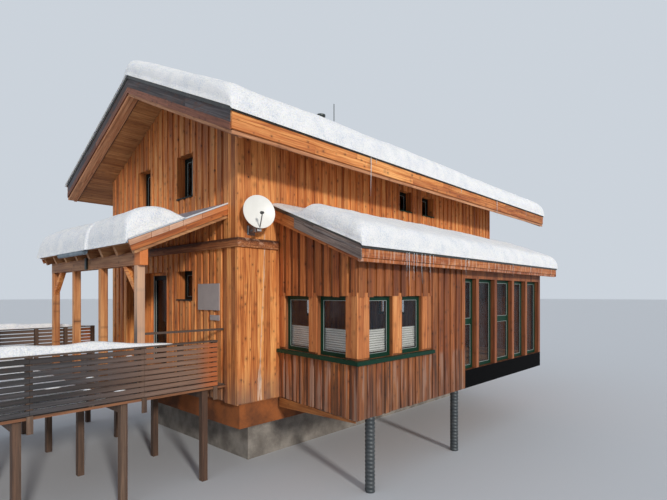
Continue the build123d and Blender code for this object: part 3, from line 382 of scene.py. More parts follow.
def belt_wear(s, colour):
    """A dark wet line along the belt's upper edge, and paler marks on its lit side."""
    blotch = s.noise((5.0, 5.0, 14.0), 5.0, 0.7)
    wet = s.ranged(s.sum(s.z, (blotch, 0.09)), SIDE_BELT_HEAD - 0.02, SIDE_BELT_HEAD + 0.02, 0.0, 0.8)
    colour = s.mix(wet, colour, (52, 28, 18))
    lit = s.times(s.ranged(s.x, CORNER.x, CORNER.x + 0.01), s.ranged(blotch, 0.54, 0.62, 0.0, 0.5))
    return s.mix(lit, colour, (220, 176, 146))


def fence_fade_and_shade(s, colour):
    """Slats dark grey far from the house, partly as painted shade, pinkish nearer and orange at the wall."""
    streak = s.noise((4, 1.4, 60))
    along = s.sum(s.y, (streak, 0.5))
    near = s.ranged(along, CORNER.y - 2.9, CORNER.y - 0.6, 0.0, 0.8)
    at_wall = s.ranged(along, CORNER.y - 0.55, CORNER.y - 0.10, 0.0, 0.9)
    colour = s.mix(near, colour, s.mix(streak, (172, 134, 110), (84, 62, 52)))
    return s.mix(at_wall, colour, s.mix(streak, (210, 116, 58), (116, 60, 30)))


# Timbers, with a grey stain that climbs from the foot of the walls
LARCH = ((242, 170, 100), (206, 122, 60), (132, 66, 28))
# The annex's timbers are darker and redder than the house's, partly as painted shade
ANNEX_LARCH = ((204, 126, 66), (168, 90, 40), (106, 52, 22))
STAIN, ANNEX_STAIN = (112, 92, 80), (96, 74, 62)
STAIN_FOOT = 1.5

larch = wood("larch_boards", LARCH, weather=(STAIN, STAIN_FOOT, 2.3, 0.8), shade=run_off_stain_and_gable_shade)
larch_wall = wood("larch_wall", ((238, 156, 84), (204, 118, 56), (138, 72, 32)), "z", 0.19,
                  weather=((82, 62, 52), STAIN_FOOT, 2.6, 0.8))
corner_larch = wood("corner_board_larch", LARCH, "z", 0.14, weather=(STAIN, STAIN_FOOT, 2.4, 0.6))
larch_x = wood("larch_along_x", LARCH, "x")
belt_larch = wood("belt_larch", ((190, 126, 80), (146, 86, 48), (86, 46, 24)), "x", 0.06, shade=belt_wear)
annex_larch = wood("annex_boards", ANNEX_LARCH, weather=(ANNEX_STAIN, STAIN_FOOT, 2.5, 0.45),
                   shade=annex_wear_and_side_shade)
# The annex's backing boards are darker, partly as painted shade
annex_wall_larch = wood("annex_wall", ((160, 96, 52), (130, 74, 36), (86, 44, 20)), "z", 0.19,
                        weather=(ANNEX_STAIN, STAIN_FOOT, 2.5, 0.85))
edge_larch = wood("annex_edge_boards", ANNEX_LARCH, shade=frost_streaks)
pier_larch = wood("annex_pier_boards", ((224, 152, 92), (194, 116, 60), (136, 72, 34)), knots=0.8)
foot_wood = wood("annex_foot_timber", ((176, 114, 60), (142, 84, 40), (94, 52, 24)), knots=0.5)
glazed_wood = wood("glazed_front_timber", ((172, 104, 60), (140, 80, 44), (96, 52, 28)), "z",
                   shade=dark_band)
soffit_wood = wood("soffit_boards", ((196, 140, 88), (164, 110, 64), (124, 76, 42)), knots=0.5,
                   tone_spread=0.6)
lath_wood = wood("verge_lath_timber", ((214, 158, 118), (180, 122, 84), (136, 84, 52)), knots=0.5)
roof_wood = wood("roof_timber", ((206, 156, 106), (178, 126, 82), (138, 90, 56)), "y", knots=0.4,
                 tone_spread=0.5)
verge_wood = wood("verge_weathered", ((98, 94, 98), (64, 60, 64), (36, 34, 38)), knots=0.3,
                  tone_spread=0.7, roughness=0.75, shade=worn_red)
verge_red = wood("verge_lower_boards", ((150, 96, 72), (114, 66, 46), (66, 38, 28)))
worn_wood = wood("lean_to_weathered_boards", ((166, 152, 144), (108, 96, 92), (56, 50, 52)), knots=0.3,
                 tone_spread=0.8, roughness=0.75)
bleached_wood = wood("porch_edge_boards", ((228, 190, 164), (204, 156, 126), (156, 106, 80)), knots=0.4,
                     tone_spread=0.4, shade=fresh_by_wall)
post_wood = wood("post_timber", ((220, 160, 104), (190, 124, 72), (140, 82, 44)),
                 weather=((70, 62, 58), 1.8, 2.5, 0.9), tone_spread=0.5, shade=pale_post)
beam_wood = wood("beam_timber", ((186, 136, 96), (150, 100, 64), (98, 60, 36)), tone_spread=0.6,
                 shade=painted_sunlit_beam_end)
floor_wood = wood("floor_timber", ((190, 140, 96), (160, 112, 74), (120, 80, 50)), "y", 0.14, knots=0.3)
deck_wood = wood("deck_boards_grey", ((120, 104, 94), (92, 78, 70), (60, 50, 46)), knots=0.4)
bearer_wood = wood("bearer_timber", ((150, 102, 68), (120, 78, 50), (80, 50, 32)), "y")
pier_wood = wood("pier_timber", ((112, 86, 68), (84, 62, 48), (54, 40, 32)), "z", knots=0.3)
# Dark grey slats, weathered and darkened partly as painted shade
fence_wood = wood("fence_slats_grey", ((70, 66, 68), (46, 44, 46), (28, 27, 28)), knots=0.4,
                  shade=fence_fade_and_shade)

# Paints, metals and the rest
# Pale grey for the window seals, and for the painted reflections on the door's edges
seal_and_glint = painted("grey_seal_and_glint", (150, 160, 156), (190, 196, 190), 0.5, amount=0.3)
dark_metal = painted("dark_edge_metal", (48, 56, 56), (78, 84, 82), 0.45, 0.3)
gutter_metal = painted("gutter_metal", (96, 112, 124), (176, 186, 192), 0.4, 0.4, scale=5.0)
bare_metal = painted("bare_metal", (168, 170, 172), (118, 118, 118), 0.34, 0.85, scale=9.0)
flashing_metal = painted("flashing_metal", (222, 226, 230), (186, 192, 198), 0.36, 0.2, scale=5.0)
ribbed_metal = painted("ribbed_metal", (66, 72, 76), (104, 106, 106), 0.5, 0.4, scale=6.0)
dish_paint = painted("dish_paint", (236, 236, 231), (216, 216, 208), 0.4, amount=0.3, scale=4.0)
sign_paint = painted("sign_paint", (170, 158, 154), (150, 140, 138), amount=0.4, scale=5.0)
door_paint = painted("door_paint", (14, 15, 15), (34, 35, 34), 0.5, amount=0.3, shine=0.15)
# Black for the dish head's plastic and for the painted shadow in the verge gaps
black_plastic_and_shadow = painted("black_plastic_and_shadow", (36, 36, 36), (70, 70, 70), 0.5)
base_plaster = plaster("base_plaster", (152, 86, 40), (92, 52, 28))
concrete = plaster("concrete", (150, 144, 136), (104, 98, 92))
snow_white = snow_skin()


def green_coat():
    """Window paint: green on the annex and nearly black on the house."""
    s = Shader("green_paint", Roughness=0.5, Specular_IOR_Level=0.22)
    wear = s.ranged(s.noise(3.0, 5.0, 0.6), 0.45, 0.8, 0.0, 0.3)
    on_house = s.ranged(s.x, CORNER.x - 0.04, CORNER.x - 0.03, 1.0, 0.0)
    s.set("Base Color", s.mix(on_house, s.mix(wear, (3, 48, 33), (16, 72, 54)),
                              s.mix(wear, (10, 22, 20), (30, 48, 44))))
    s.bump(s.noise(66.0), 0.0008, 0.6)
    return s.mat


def sheet_skin():
    """Roof sheet: bluish and bare over the porch, dark everywhere else."""
    s = Shader("roof_sheet", Roughness=0.38)
    wear = s.noise(6.0, 5.0, 0.65)
    before_wall = s.ranged(s.y, CORNER.y + 0.05, CORNER.y + 0.06, 1.0, 0.0)
    over_porch = s.times(before_wall, s.ranged(s.z, PORCH_TOP + 0.13, PORCH_TOP + 0.14, 1.0, 0.0))
    dark = s.ramp(wear, (0.4, (38, 40, 38)), (0.62, (56, 54, 50)), (0.75, (92, 88, 82)))
    bare = s.ramp(wear, (0.35, (118, 134, 152)), (0.6, (140, 154, 168)), (0.75, (168, 178, 188)))
    s.set("Base Color", s.mix(over_porch, dark, bare))
    s.bump(s.noise(30.0), 0.002, 0.5)
    return s.mat


def window_glass():
    """Panes a little hazy: dark on the house, paler on the annex."""
    s = Shader("window_glass")
    haze = s.noise(2.5, 4.0)
    s.set("Base Color", s.mix(s.ranged(s.x, CORNER.x + 0.01, CORNER.x + 0.02), (26, 32, 34), (62, 70, 78)))
    s.set("Roughness", s.ranged(haze, 0.35, 0.7, 0.02, 0.08))
    s.set("Alpha", s.ranged(haze, 0.3, 0.7, 0.14, 0.20))
    return s.mat


def clear_ice():
    s = Shader("ice", Roughness=0.12, IOR=1.31, Base_Color=(232, 240, 246), Transmission_Weight=0.55)
    s.bump(s.noise(40.0), 0.004, 0.6)
    return s.mat


def blind_cloth():
    """Off-white pleats with a shadow in each fold."""
    fold_height = 0.0433
    s = Shader("blind_cloth", Roughness=0.9, Sheen_Weight=0.15)
    weave = s.noise((60, 60, 240))
    fold = s.math("SINE", s.times(s.z, 2 * math.pi / fold_height))
    s.set("Base Color", s.mix(s.ranged(fold, -0.9, 0.9, 0.55, 0.0),
                              s.ramp(weave, (0.3, (232, 232, 222)), (0.6, (250, 250, 244))), (150, 148, 138)))
    s.bump(weave, 0.001, 0.4)
    return s.mat


green_paint, sheet_metal, glass = green_coat(), sheet_skin(), window_glass()
ice, cloth = clear_ice(), blind_cloth()


# Building meshes


class Build:
    """Gathers boards and other closed shapes into one mesh."""

    def __init__(self, seed):
        self.random = random.Random(seed)
        self.points, self.faces, self.grain, self.tone = [], [], [], []

    def add(self, points, faces, grain=None, tone=None):
        start = len(self.points)
        self.points += [Vector(p) for p in points]
        self.faces += [[start + i for i in face] for face in faces]
        self.grain += grain or [Vector(p) for p in points]
        self.tone += [self.random.random() if tone is None else tone] * len(points)

    def prism(self, points, grain, tone=None):
        """A solid between two polygons, the points of the second listed after those of the first."""
        count = len(points) // 2
        faces = [list(range(count)), list(range(count, 2 * count))]
        faces += [[i, (i + 1) % count, count + (i + 1) % count, count + i] for i in range(count)]
        self.add(points, faces, grain, tone)

    def jump(self):
        """A step to another place in the grain, so that no two boards look alike."""
        return Vector((self.random.uniform(0, 40), self.random.uniform(0, 6), 0))

    def board(self, start, along, across, out, ends, width, thick, chamfer=0.005, tone=None):
        """A board with broken front edges. ends gives how far along it starts and ends, each as a
        number or as a pair for its two long sides."""
        c = min(chamfer, thick / 3, width / 3)
        section = [(0, 0), (width, 0), (width, thick - c), (width - c, thick), (c, thick), (0, thick - c)]
        jump = self.jump()
        points, grain = [], []
        for end in ends:
            first, last = (end, end) if isinstance(end, (int, float)) else end
            for a, o in section:
                reach = first + (last - first) * a / width
                points.append(start + along * reach + across * a + out * o)
                grain.append(Vector((reach, a, o)) + jump)
        self.prism(points, grain, tone)

    def box(self, low, high, chamfer=0.004, tone=None):
        """An upright box between two corners, its long edges broken, with upright grain."""
        width, thick, height = Vector(high) - Vector(low)
        c = min(chamfer, width / 3, thick / 3)
        section = [(c, 0), (width - c, 0), (width, c), (width, thick - c), (width - c, thick), (c, thick),
                   (0, thick - c), (0, c)]
        jump = self.jump()
        places = [(a, o, reach) for reach in (0, height) for a, o in section]
        self.prism([Vector(low) + Vector(place) for place in places],
                   [Vector((reach, a, o)) + jump for a, o, reach in places], tone)

    def slab(self, corners, out, along, tone=None):
        """A board cut from a polygon, as thick as the vector out, with the grain along one direction."""
        jump = self.jump()
        up = out.cross(along).normalized()
        points = [Vector(c) for c in corners] + [Vector(c) + out for c in corners]
        grain = [Vector((p.dot(along), p.dot(up), p.dot(out.normalized()))) + jump for p in points]
        self.prism(points, grain, tone)

    def ring(self, rings, close=True, tone=None):
        """A skin through rings of points, closed at both ends unless close is false."""
        count = len(rings[0])
        faces = []
        for start in range(0, (len(rings) - 1) * count, count):
            for i in range(count):
                j = (i + 1) % count
                faces.append([start + i, start + j, start + count + j, start + count + i])
        if close:
            last = (len(rings) - 1) * count
            faces += [list(range(count)), list(range(last, last + count))]
        self.add([p for ring in rings for p in ring], faces, tone=tone)

    def rod(self, start, end, radius, count=10, end_radius=None):
        line = (end - start).normalized()
        side_way = line.cross(UP if abs(line.z) < 0.9 else ACROSS).normalized()
        other = line.cross(side_way)
        turns = [2 * math.pi * i / count for i in range(count)]
        self.ring([[p + (side_way * math.cos(t) + other * math.sin(t)) * r for t in turns]
                   for p, r in ((start, radius), (end, end_radius or radius))], tone=0.5)

    def finish(self, name, material, smooth=False, body="chalet"):
        mesh = bpy.data.meshes.new(name)
        mesh.from_pydata([p + CORNER for p in self.points], [], self.faces)
        mesh.attributes.new("grain", "FLOAT_VECTOR", "POINT").data.foreach_set(
            "vector", [v for g in self.grain for v in g])
        mesh.attributes.new("tone", "FLOAT", "POINT").data.foreach_set("value", self.tone)
        work = bmesh.new()
        work.from_mesh(mesh)
        bmesh.ops.recalc_face_normals(work, faces=work.faces)
        work.to_mesh(mesh)
        work.free()
        if smooth:
            mesh.shade_smooth()
        mesh.materials.append(material)
        piece = bpy.data.objects.new(name, mesh)
        bpy.context.scene.collection.objects.link(piece)
        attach(piece, body)
        return piece


def soften(piece, width, segments=2):
    rounding = piece.modifiers.new("edges", "BEVEL")
    rounding.width, rounding.segments = width, segments


def lengths(*joints, gap=0.003):
    """Where each board between joints starts and ends, with a gap after all but the last."""
    return [(a, b - gap if b < joints[-1] else b) for a, b in zip(joints, joints[1:])]


def cut_out(rectangles, holes, sliver=0.03):
    """What is left of rectangles (left, right, bottom, top) outside the holes, without upright slivers."""
    for hl, hr, hb, ht in holes:
        left_over = []
        for l, r, b, t in rectangles:
            if r <= hl or l >= hr or t <= hb or b >= ht:
                left_over.append((l, r, b, t))
                continue
            beside = max(b, hb), min(t, ht)
            left_over += [(l, r, low, high) for low, high in ((b, hb), (ht, t)) if low < high]
            left_over += [(start, end, *beside) for start, end in ((l, hl), (hr, r)) if end - start > sliver]
        rectangles = left_over
    return rectangles


def clad(build, wall, left, right, bottom, top, holes=(), pitch=0.255, width=0.160, thick=0.027,
         ragged=0.012, first=None, wobble=0.004):
    """Upright boards over a wall. top is a height or a function of the distance across."""
    origin, across, out = wall
    roof = top if callable(top) else lambda a: top
    endless = 50.0
    r = build.random
    a = left if first is None else first
    while a < right - 0.02:
        l = max(left, a + r.uniform(-wobble, wobble))
        end = min(right, a + width + r.uniform(-wobble, wobble))
        tone = r.random()
        lean = r.uniform(-0.003, 0.003)
        a += pitch
        if end - l <= 0.03:
            continue
        for pl, pr, pb, pt in cut_out([(l, end, -endless, endless)], holes):
            at_foot = pb == -endless
            low = bottom if at_foot else pb
            high = (roof(pl), roof(pr)) if pt == endless else (pt, pt)
            if min(high) - low < 0.02:
                continue
            drop = r.uniform(0, ragged) if ragged else 0.0
            low = (low - drop + lean, low - drop - lean) if at_foot or ragged else (low, low)
            build.board(origin + across * pl, UP, across, out, (low, high), pr - pl,
                        thick + r.uniform(-0.002, 0.002), tone=share(tone + r.uniform(-0.04, 0.04)))


# Cladding of the house, with a strip left bare for the belt and close boards on the side by the corner
SOFFIT = ROOF_DEPTH + 0.012
OVER_ANNEX = 5.45
CLOSE_BOARDS = dict(pitch=0.166, width=0.161, first=-0.045, wobble=0.001)
wall_top = roof_z(0, SOFFIT)


def gable_line(x):
    return roof_z(x, SOFFIT)


front = Build(11)
front_holes = [(l, r + 0.03, b, t) for l, r, b, t in [*UPPER_WINDOWS, TALL_WINDOW, SMALL_WINDOW, DOORWAY]]
clad(front, FRONT, -HOUSE_WIDTH, -0.425, CLAD_FOOT, BELT_FOOT, front_holes, first=-6.085)
clad(front, FRONT, -HOUSE_WIDTH, -0.305, BELT_HEAD, gable_line, front_holes, first=-6.085, ragged=0)
front.finish("front_cladding", larch)

side = Build(12)
clad(side, SIDE, -0.045, ANNEX_NEAR, CLAD_FOOT, BELT_FOOT, **CLOSE_BOARDS)
clad(side, SIDE, -0.045, ANNEX_NEAR, SIDE_BELT_HEAD, wall_top, ragged=0, **CLOSE_BOARDS)
clad(side, SIDE, 1.06, HOUSE_LENGTH, OVER_ANNEX, wall_top, SIDE_WINDOWS, first=1.06, ragged=0)
clad(side, SIDE, ANNEX_REAR + 0.03, HOUSE_LENGTH, CLAD_FOOT, OVER_ANNEX - 0.02, first=9.475)
side.finish("side_cladding", larch)

rest = Build(13)
clad(rest, LEFT, 0, HOUSE_LENGTH, CLAD_FOOT, wall_top, LEFT_WINDOWS)
clad(rest, REAR, -HOUSE_WIDTH, 0, CLAD_FOOT, gable_line, REAR_WINDOWS, first=-6.09)
clad(rest, ANNEX_BACK, 0.03, ANNEX_WIDTH, CLAD_FOOT, lambda x: annex_z(x, ANNEX_CLAD_TOP))
rest.finish("left_and_rear_cladding", larch)

# Cladding of the annex, over and under its windows, with flat boards between them
ANNEX_BOARDS = dict(pitch=0.262, width=0.165, first=0.05)
UNDER_SILL, OVER_WINDOWS = 2.478, WINDOW_HIGH + 0.012
front_length = ANNEX_WIDTH / math.cos(ANNEX_TURN)
annex_side_top = annex_z(ANNEX_WIDTH, ANNEX_CLAD_TOP)
annex = Build(14)
clad(annex, ANNEX_FRONT, 0.03, front_length, OVER_WINDOWS,
     lambda a: annex_z(a * math.cos(ANNEX_TURN), ANNEX_CLAD_TOP), ragged=0.03, thick=0.038, **ANNEX_BOARDS)
clad(annex, ANNEX_FRONT, 0.03, front_length + 0.02, CLAD_FOOT, UNDER_SILL, ragged=0.02, **ANNEX_BOARDS)
clad(annex, ANNEX_SIDE, 0.69, 3.06, OVER_WINDOWS, annex_side_top, ragged=0.03, first=0.68, thick=0.036)
clad(annex, ANNEX_SIDE, 3.08, 4.52, CLAD_FOOT, annex_side_top, first=3.10)
clad(annex, ANNEX_SIDE, 0.69, 3.06, CLAD_FOOT, UNDER_SILL, first=0.68, ragged=0.02)
annex.finish("annex_cladding", annex_larch)

piers = Build(15)
front_piers = ((0.03, 0.245), (1.115, 1.375), (2.235, front_length + 0.022))
side_piers = ((0.665, 0.985), (1.705, 1.985), (2.715, 3.05))
for (start, along, out), spans, thick in ((ANNEX_FRONT, front_piers, 0.024), (ANNEX_SIDE, side_piers, 0.022)):
    for l, r in spans:
        half = (l + r) / 2
        for a, b in ((l, half - 0.002), (half + 0.002, r)):
            foot = WINDOW_LOW + 0.03 + piers.random.uniform(0, 0.012)
            piers.board(start + along * a, UP, along, out, (foot, WINDOW_HIGH + 0.06), b - a, thick)
piers.finish("annex_window_posts", pier_larch)

# Soffit boards of the main roof: short ones before and behind the walls, long ones past their outer face
soffit = Build(21)
steep = math.hypot(1, SLOPE)
slope_length = EAVE_RUN * steep
behind_verge = 0.265
under_ridge = Vector((RIDGE_X, 0, RIDGE_TOP - ROOF_DEPTH))
SOFFIT_WIDTH, SOFFIT_GAP, SOFFIT_THICK = 0.138, 0.004, 0.014
for turn in (-1, 1):
    downhill = Vector((turn, 0, -SLOPE)).normalized()
    below = Vector((-SLOPE * turn, 0, -1)).normalized()
    reach = 0.0
    while reach < slope_length - 0.03:
        splits = (-0.03, HOUSE_LENGTH + 0.03)
        if reach > HOUSE_WIDTH / 2 * steep + 0.02:
            joint = 4.1 + soffit.random.uniform(-0.5, 0.5)
            splits = (joint, joint + 0.003)
        for run in ((VERGE_FRONT + behind_verge, splits[0]), (splits[1], VERGE_REAR - behind_verge)):
            soffit.board(under_ridge + downhill * reach, DEPTH, downhill, below, run,
                         min(SOFFIT_WIDTH, slope_length - reach), SOFFIT_THICK, 0.004)
        reach += SOFFIT_WIDTH + SOFFIT_GAP
soffit.finish("soffit_boards", soffit_wood)

# Verge boards. A course is a build, its edges below the roof's top, thickness, setback and joint
# The black strips in the gap behind the laths are painted shadow
upper, lower, lath, shadow_gap_strip = Build(22), Build(23), Build(24), Build(27)
COURSES = ((upper, 0.03, 0.285, 0.052, 0.048, 2.55), (lower, 0.270, 0.405, 0.034, 0.018, 1.9),
           (lath, 0.405, 0.466, 0.136, 0.154, 3.2), (lath, 0.420, 0.488, 0.076, 0.234, 2.7),
           (shadow_gap_strip, 0.420, 0.456, 0.030, 0.266, 3.6))
for face, out in ((VERGE_FRONT, -DEPTH), (VERGE_REAR, DEPTH)):
    for turn in (-1, 1):
        for build, top, foot, thick, back, joint in COURSES:
            start = Vector((RIDGE_X, face, RIDGE_TOP)) - out * back
            for ends in lengths(0.0, joint, SPAN - 0.047):
                jump = build.random.uniform(0, 30)
                places = [(reach, o, h) for reach in ends
                          for o, h in ((0, foot), (0, top), (thick, top), (thick, foot))]
                build.prism([start + Vector((turn, 0, -SLOPE)) * reach + out * o - UP * h
                             for reach, o, h in places],
                            [Vector((reach + jump, h, o)) for reach, o, h in places])
upper_piece = upper.finish("verge_upper_boards", verge_wood)
lower_piece = lower.finish("verge_lower_boards", verge_red)
lath.finish("verge_laths", lath_wood)
shadow_gap_strip.finish("verge_painted_shadow_strips", black_plastic_and_shadow)
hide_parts("verge_boards")
for piece in (upper_piece, lower_piece):
    soften(piece, 0.006)

# Eave boards in two courses with a strip under them
fascia, strip = Build(28), Build(25)
fascia_top = roof_z(RIDGE_X + SPAN, 0.032)
for turn in (-1, 1):
    x = RIDGE_X + turn * EAVE_RUN
    strip_foot = roof_z(x, ROOF_DEPTH) - 0.014
    for low, tall, thick, joints in ((fascia_top - 0.160, 0.160, 0.044, (2.4, 6.1, 10.3)),
                                     (fascia_top - 0.328, 0.166, 0.039, (1.1, 4.6, 8.4, 12.2))):
        for ends in lengths(VERGE_FRONT + 0.002, *joints, VERGE_REAR - 0.002):
            fascia.board(Vector((x, 0, low)), DEPTH, UP, ACROSS * turn, ends, tall, thick, 0.006)
    for ends in lengths(VERGE_FRONT + 0.012, 4.603, 9.403, VERGE_REAR - 0.012):
        strip.board(Vector((x, 0, strip_foot)), DEPTH, UP, ACROSS * turn, ends, 0.062, 0.022)
fascia_piece = fascia.finish("eave_fascia_boards", larch)
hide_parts("eave_fascias")
strip.finish("eave_lower_strip", lath_wood)

# Edges of the annex roof: a lower board all along, a weathered board over it from part way down
annex_lean = Vector((ANNEX_ALONG.x, ANNEX_ALONG.y, -ANNEX_SLOPE * ANNEX_ALONG.x)).normalized()
edge, worn = Build(29), Build(30)


def verge_slab(build, ends, out, top, foot, thick, cut=0.0, tone=None):
    """A board along the annex's askew verge, out from its plane and between two depths below the roof's
    top. cut takes that much off its upper end at the foot."""
    a, b = ends
    build.slab([(x, annex_y(x, ANNEX_VERGE) - out, annex_z(x, below))
                for x, below in ((a, top), (b, top), (b, foot), (a + cut, foot))],
               ANNEX_OUT * thick, annex_lean, tone)


for ends in lengths(0.0, 1.623, ANNEX_EAVE - 0.048):
    verge_slab(edge, ends, -0.048, 0.03, 0.318, 0.046)
for ends in lengths(0.86, 1.503, ANNEX_EAVE + 0.012):
    verge_slab(worn, ends, 0.0, 0.032, 0.262, 0.024)
verge_slab(worn, (1.20, ANNEX_EAVE - 0.1), 0.024, 0.085, 0.118, 0.010, cut=0.12, tone=0.95)
edge.slab([(x, ANNEX_ROOF_END, annex_z(x, below))
           for x, below in ((0, 0.03), (ANNEX_EAVE, 0.03), (ANNEX_EAVE, 0.29), (0, 0.29))],
          DEPTH * -0.048, Vector((1, 0, -ANNEX_SLOPE)).normalized())
annex_fascia_top = annex_z(ANNEX_EAVE, 0.032)
near_end, far_end = annex_y(ANNEX_EAVE, ANNEX_VERGE) + 0.002, ANNEX_ROOF_END - 0.053
for low, tall, thick, joints in ((annex_fascia_top - 0.195, 0.195, 0.066, (3.3, 6.9)),
                                 (annex_fascia_top - 0.262, 0.062, 0.048, (4.9,))):
    for ends in lengths(near_end, *joints, far_end):
        edge.board(Vector((ANNEX_EAVE - 0.066, 0, low)), DEPTH, UP, ACROSS, ends, tall, thick, 0.006)

# A tapered board under the annex front
foot_board = Build(37)
foot_board.slab([Vector((x, annex_y(x), z)) + ANNEX_OUT * 0.003
                 for x, z in ((0.03, 1.505), (2.47, 1.505), (2.47, 1.472), (0.03, 1.300))],
                ANNEX_OUT * 0.020, ANNEX_ALONG)
soften(foot_board.finish("annex_foot_board", foot_wood), 0.004)

# Edges of the porch roof: pale rounded boards in short lengths over one course of the lean-to's boards
square_cut = PORCH_SLOPE / (1 + PORCH_SLOPE ** 2)
porch_lean = Vector((0, -1, -PORCH_SLOPE)).normalized()
pale_edge = Build(34)
for x in (PORCH_LEFT, PORCH_RIGHT - 0.040):
    for build, thick, top, foot, joints in ((pale_edge, 0.040, 0.027, 0.135, (0.62, 1.02, 1.30, 1.63)),
                                            (edge, 0.034, 0.138, 0.240, (0.95,))):
        for a, b in lengths(0.0, *joints, PORCH_REACH, gap=0.004):
            cuts = [(h - 0.025) * square_cut if b == PORCH_REACH else 0.0 for h in (top, foot)]
            build.slab([(x, y, porch_z(y, h))
                        for y, h in ((-a, top), (-b + cuts[0], top), (-b + cuts[1], foot), (-a, foot))],
                       ACROSS * thick, porch_lean)
edge_piece = edge.finish("lean_to_edge_boards", edge_larch)
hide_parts("lean_to_roof_edges")
soften(edge_piece, 0.005)
soften(worn.finish("annex_verge_weathered_boards", worn_wood), 0.004)
soften(pale_edge.finish("porch_verge_boards", bleached_wood), 0.014, 3)

# Bright flashing over the porch roof's two side edges: an upright lip and a strip on top
flashing = Build(38)
for x, way in ((PORCH_LEFT, 1), (PORCH_RIGHT, -1)):
    for a, b, lift in ((0.0, 1.02, 0.0045), (1.01, PORCH_REACH, 0.003)):
        for low, high, outer, inner in ((-0.020, lift, -0.006, -0.002), (lift, lift + 0.002, -0.006, 0.052)):
            start, end = sorted((x + outer * way, x + inner * way))
            flashing.slab([(start, -reach, porch_z(-reach, -h))
                           for reach, h in ((a, high), (b, high), (b, low), (a, low))],
                          ACROSS * (end - start), porch_lean, tone=0.5)
flashing.finish("porch_roof_flashing", flashing_metal)

# A short gutter with an outlet on the porch eave
gutter = Build(35)
gutter_y, gutter_z = -PORCH_REACH - 0.016, porch_z(-PORCH_REACH, 0.085)
outer = [(0.0, 0.0), (-0.004, -0.055), (-0.030, -0.088), (-0.072, -0.088), (-0.092, -0.060),
         (-0.094, -0.014), (-0.104, -0.010), (-0.104, -0.016)]
inner = [(-0.088, -0.018), (-0.086, -0.058), (-0.069, -0.083), (-0.032, -0.083), (-0.009, -0.053),
         (-0.005, 0.0)]
gutter.ring([[Vector((x, gutter_y + y, gutter_z + z)) for y, z in outer + inner] for x in (-3.65, -2.12)],
            tone=0.5)
gutter.finish("porch_gutter", gutter_metal)
outlet = Build(36)
outlet.box((-2.91, PORCH_FRONT - 0.046, 4.225), (-2.83, PORCH_FRONT - 0.006, 4.47), 0.008)
outlet.finish("porch_gutter_strap", dark_metal)

# Pale strips on the edges of the door and its glass: painted reflections where these edges catch the light
door = Build(26)
door.box((-4.022, 0.196, 1.958), (-4.000, 0.215, 4.175))
door.box((-3.925, 0.205, 2.18), (-3.900, 0.218, 4.06))
door.finish("door_pale_edge", seal_and_glint, body="entrance_door")

# Window sashes, seals and mullions
sashes, seals = Build(31), Build(32)


def window(wall, left, right, bottom, top, recess, mullion=False, sash=0.016):
    """A sash with its pale seal inside the opening's frame, just before the pane."""
    origin, across, out = wall
    frame_width = 0.060
    l, r, b, t = left + frame_width, right - frame_width, bottom + frame_width, top - frame_width
    middle, mullion_ends = (l + r) / 2, (b, t)
    base = origin - out * recess
    for build, inset, wide, thick in ((sashes, 0.0, sash, 0.014), (seals, sash, 0.010, 0.006)):
        l, r, b, t = l + inset, r - inset, b + inset, t - inset
        for a in (l, r - wide):
            build.board(base + across * a, UP, across, out, (b, t), wide, thick, 0.003, 0.5)
        for h in (b, t - wide):
            build.board(base + UP * h, across, UP, out, (l + wide, r - wide), wide, thick, 0.003, 0.5)
    if mullion:
        for build, wide, thick, chamfer in ((sashes, 0.07, 0.024, 0.004), (seals, 0.016, 0.028, 0.003)):
            build.board(base + across * (middle - wide / 2), UP, across, out, mullion_ends, wide, thick,
                        chamfer, 0.5)


HOUSE_RECESS, ANNEX_RECESS, BAY_RECESS = 0.203, 0.078, 0.128
TRANSOM_BAYS, TRANSOM_LOW, TRANSOM_HIGH, BAY_TOP = (0, 2), 3.05, 3.06, 4.08
# Each row is a wall, its windows and the width from which they have a mullion
for wall, windows, split in ((FRONT, UPPER_WINDOWS, 0.6), (FRONT, [TALL_WINDOW, SMALL_WINDOW], 1),
                             (SIDE, SIDE_WINDOWS, 1), (LEFT, LEFT_WINDOWS, 1), (REAR, REAR_WINDOWS, 1)):
    for hole in windows:
        window(wall, *hole, HOUSE_RECESS, mullion=hole[1] - hole[0] > split, sash=0.03)
for wall, l, r in ANNEX_WINDOWS:
    window(wall, l, r, WINDOW_LOW, WINDOW_HIGH, ANNEX_RECESS)
for bay, (l, r) in enumerate(BAYS):
    low = GLAZING_FOOT
    if bay in TRANSOM_BAYS:
        window(ANNEX_SIDE, l, r, low, TRANSOM_HIGH, BAY_RECESS)
        low = TRANSOM_LOW
    window(ANNEX_SIDE, l, r, low, BAY_TOP, BAY_RECESS)
sashes.finish("window_sashes", green_paint)
seals.finish("window_seals", seal_and_glint)

# Pleated blinds over the lower half of the annex windows, with a rail above and below
blinds = Build(33)
BLIND_LOW, BLIND_HIGH, BLIND_BACK = 2.66, 3.05, 0.137
FOLDS, FOLD_DEPTH, CLOTH_THICK = 9, 0.014, 0.0015
step = (BLIND_HIGH - BLIND_LOW) / FOLDS / 2
front_line = [(BLIND_LOW + k * step, FOLD_DEPTH if k % 2 else 0.0) for k in range(2 * FOLDS + 1)]
section = front_line + [(h, o - CLOTH_THICK) for h, o in reversed(front_line)]
for (origin, across, out), left, right in ANNEX_WINDOWS:
    l, r = left + 0.035, right - 0.035
    base = origin - out * BLIND_BACK
    blinds.ring([[base + across * a + out * o + UP * h for h, o in section] for a in (l, r)], close=False,
                tone=0.5)
    for h in (BLIND_LOW - 0.008, BLIND_HIGH - 0.004):
        blinds.board(base - out * 0.002 + UP * h, across, UP, out, (l, r), 0.014, 0.016, 0.003, 0.5)
blind_piece = blinds.finish("pleated_blinds", cloth)
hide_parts("annex_blinds")

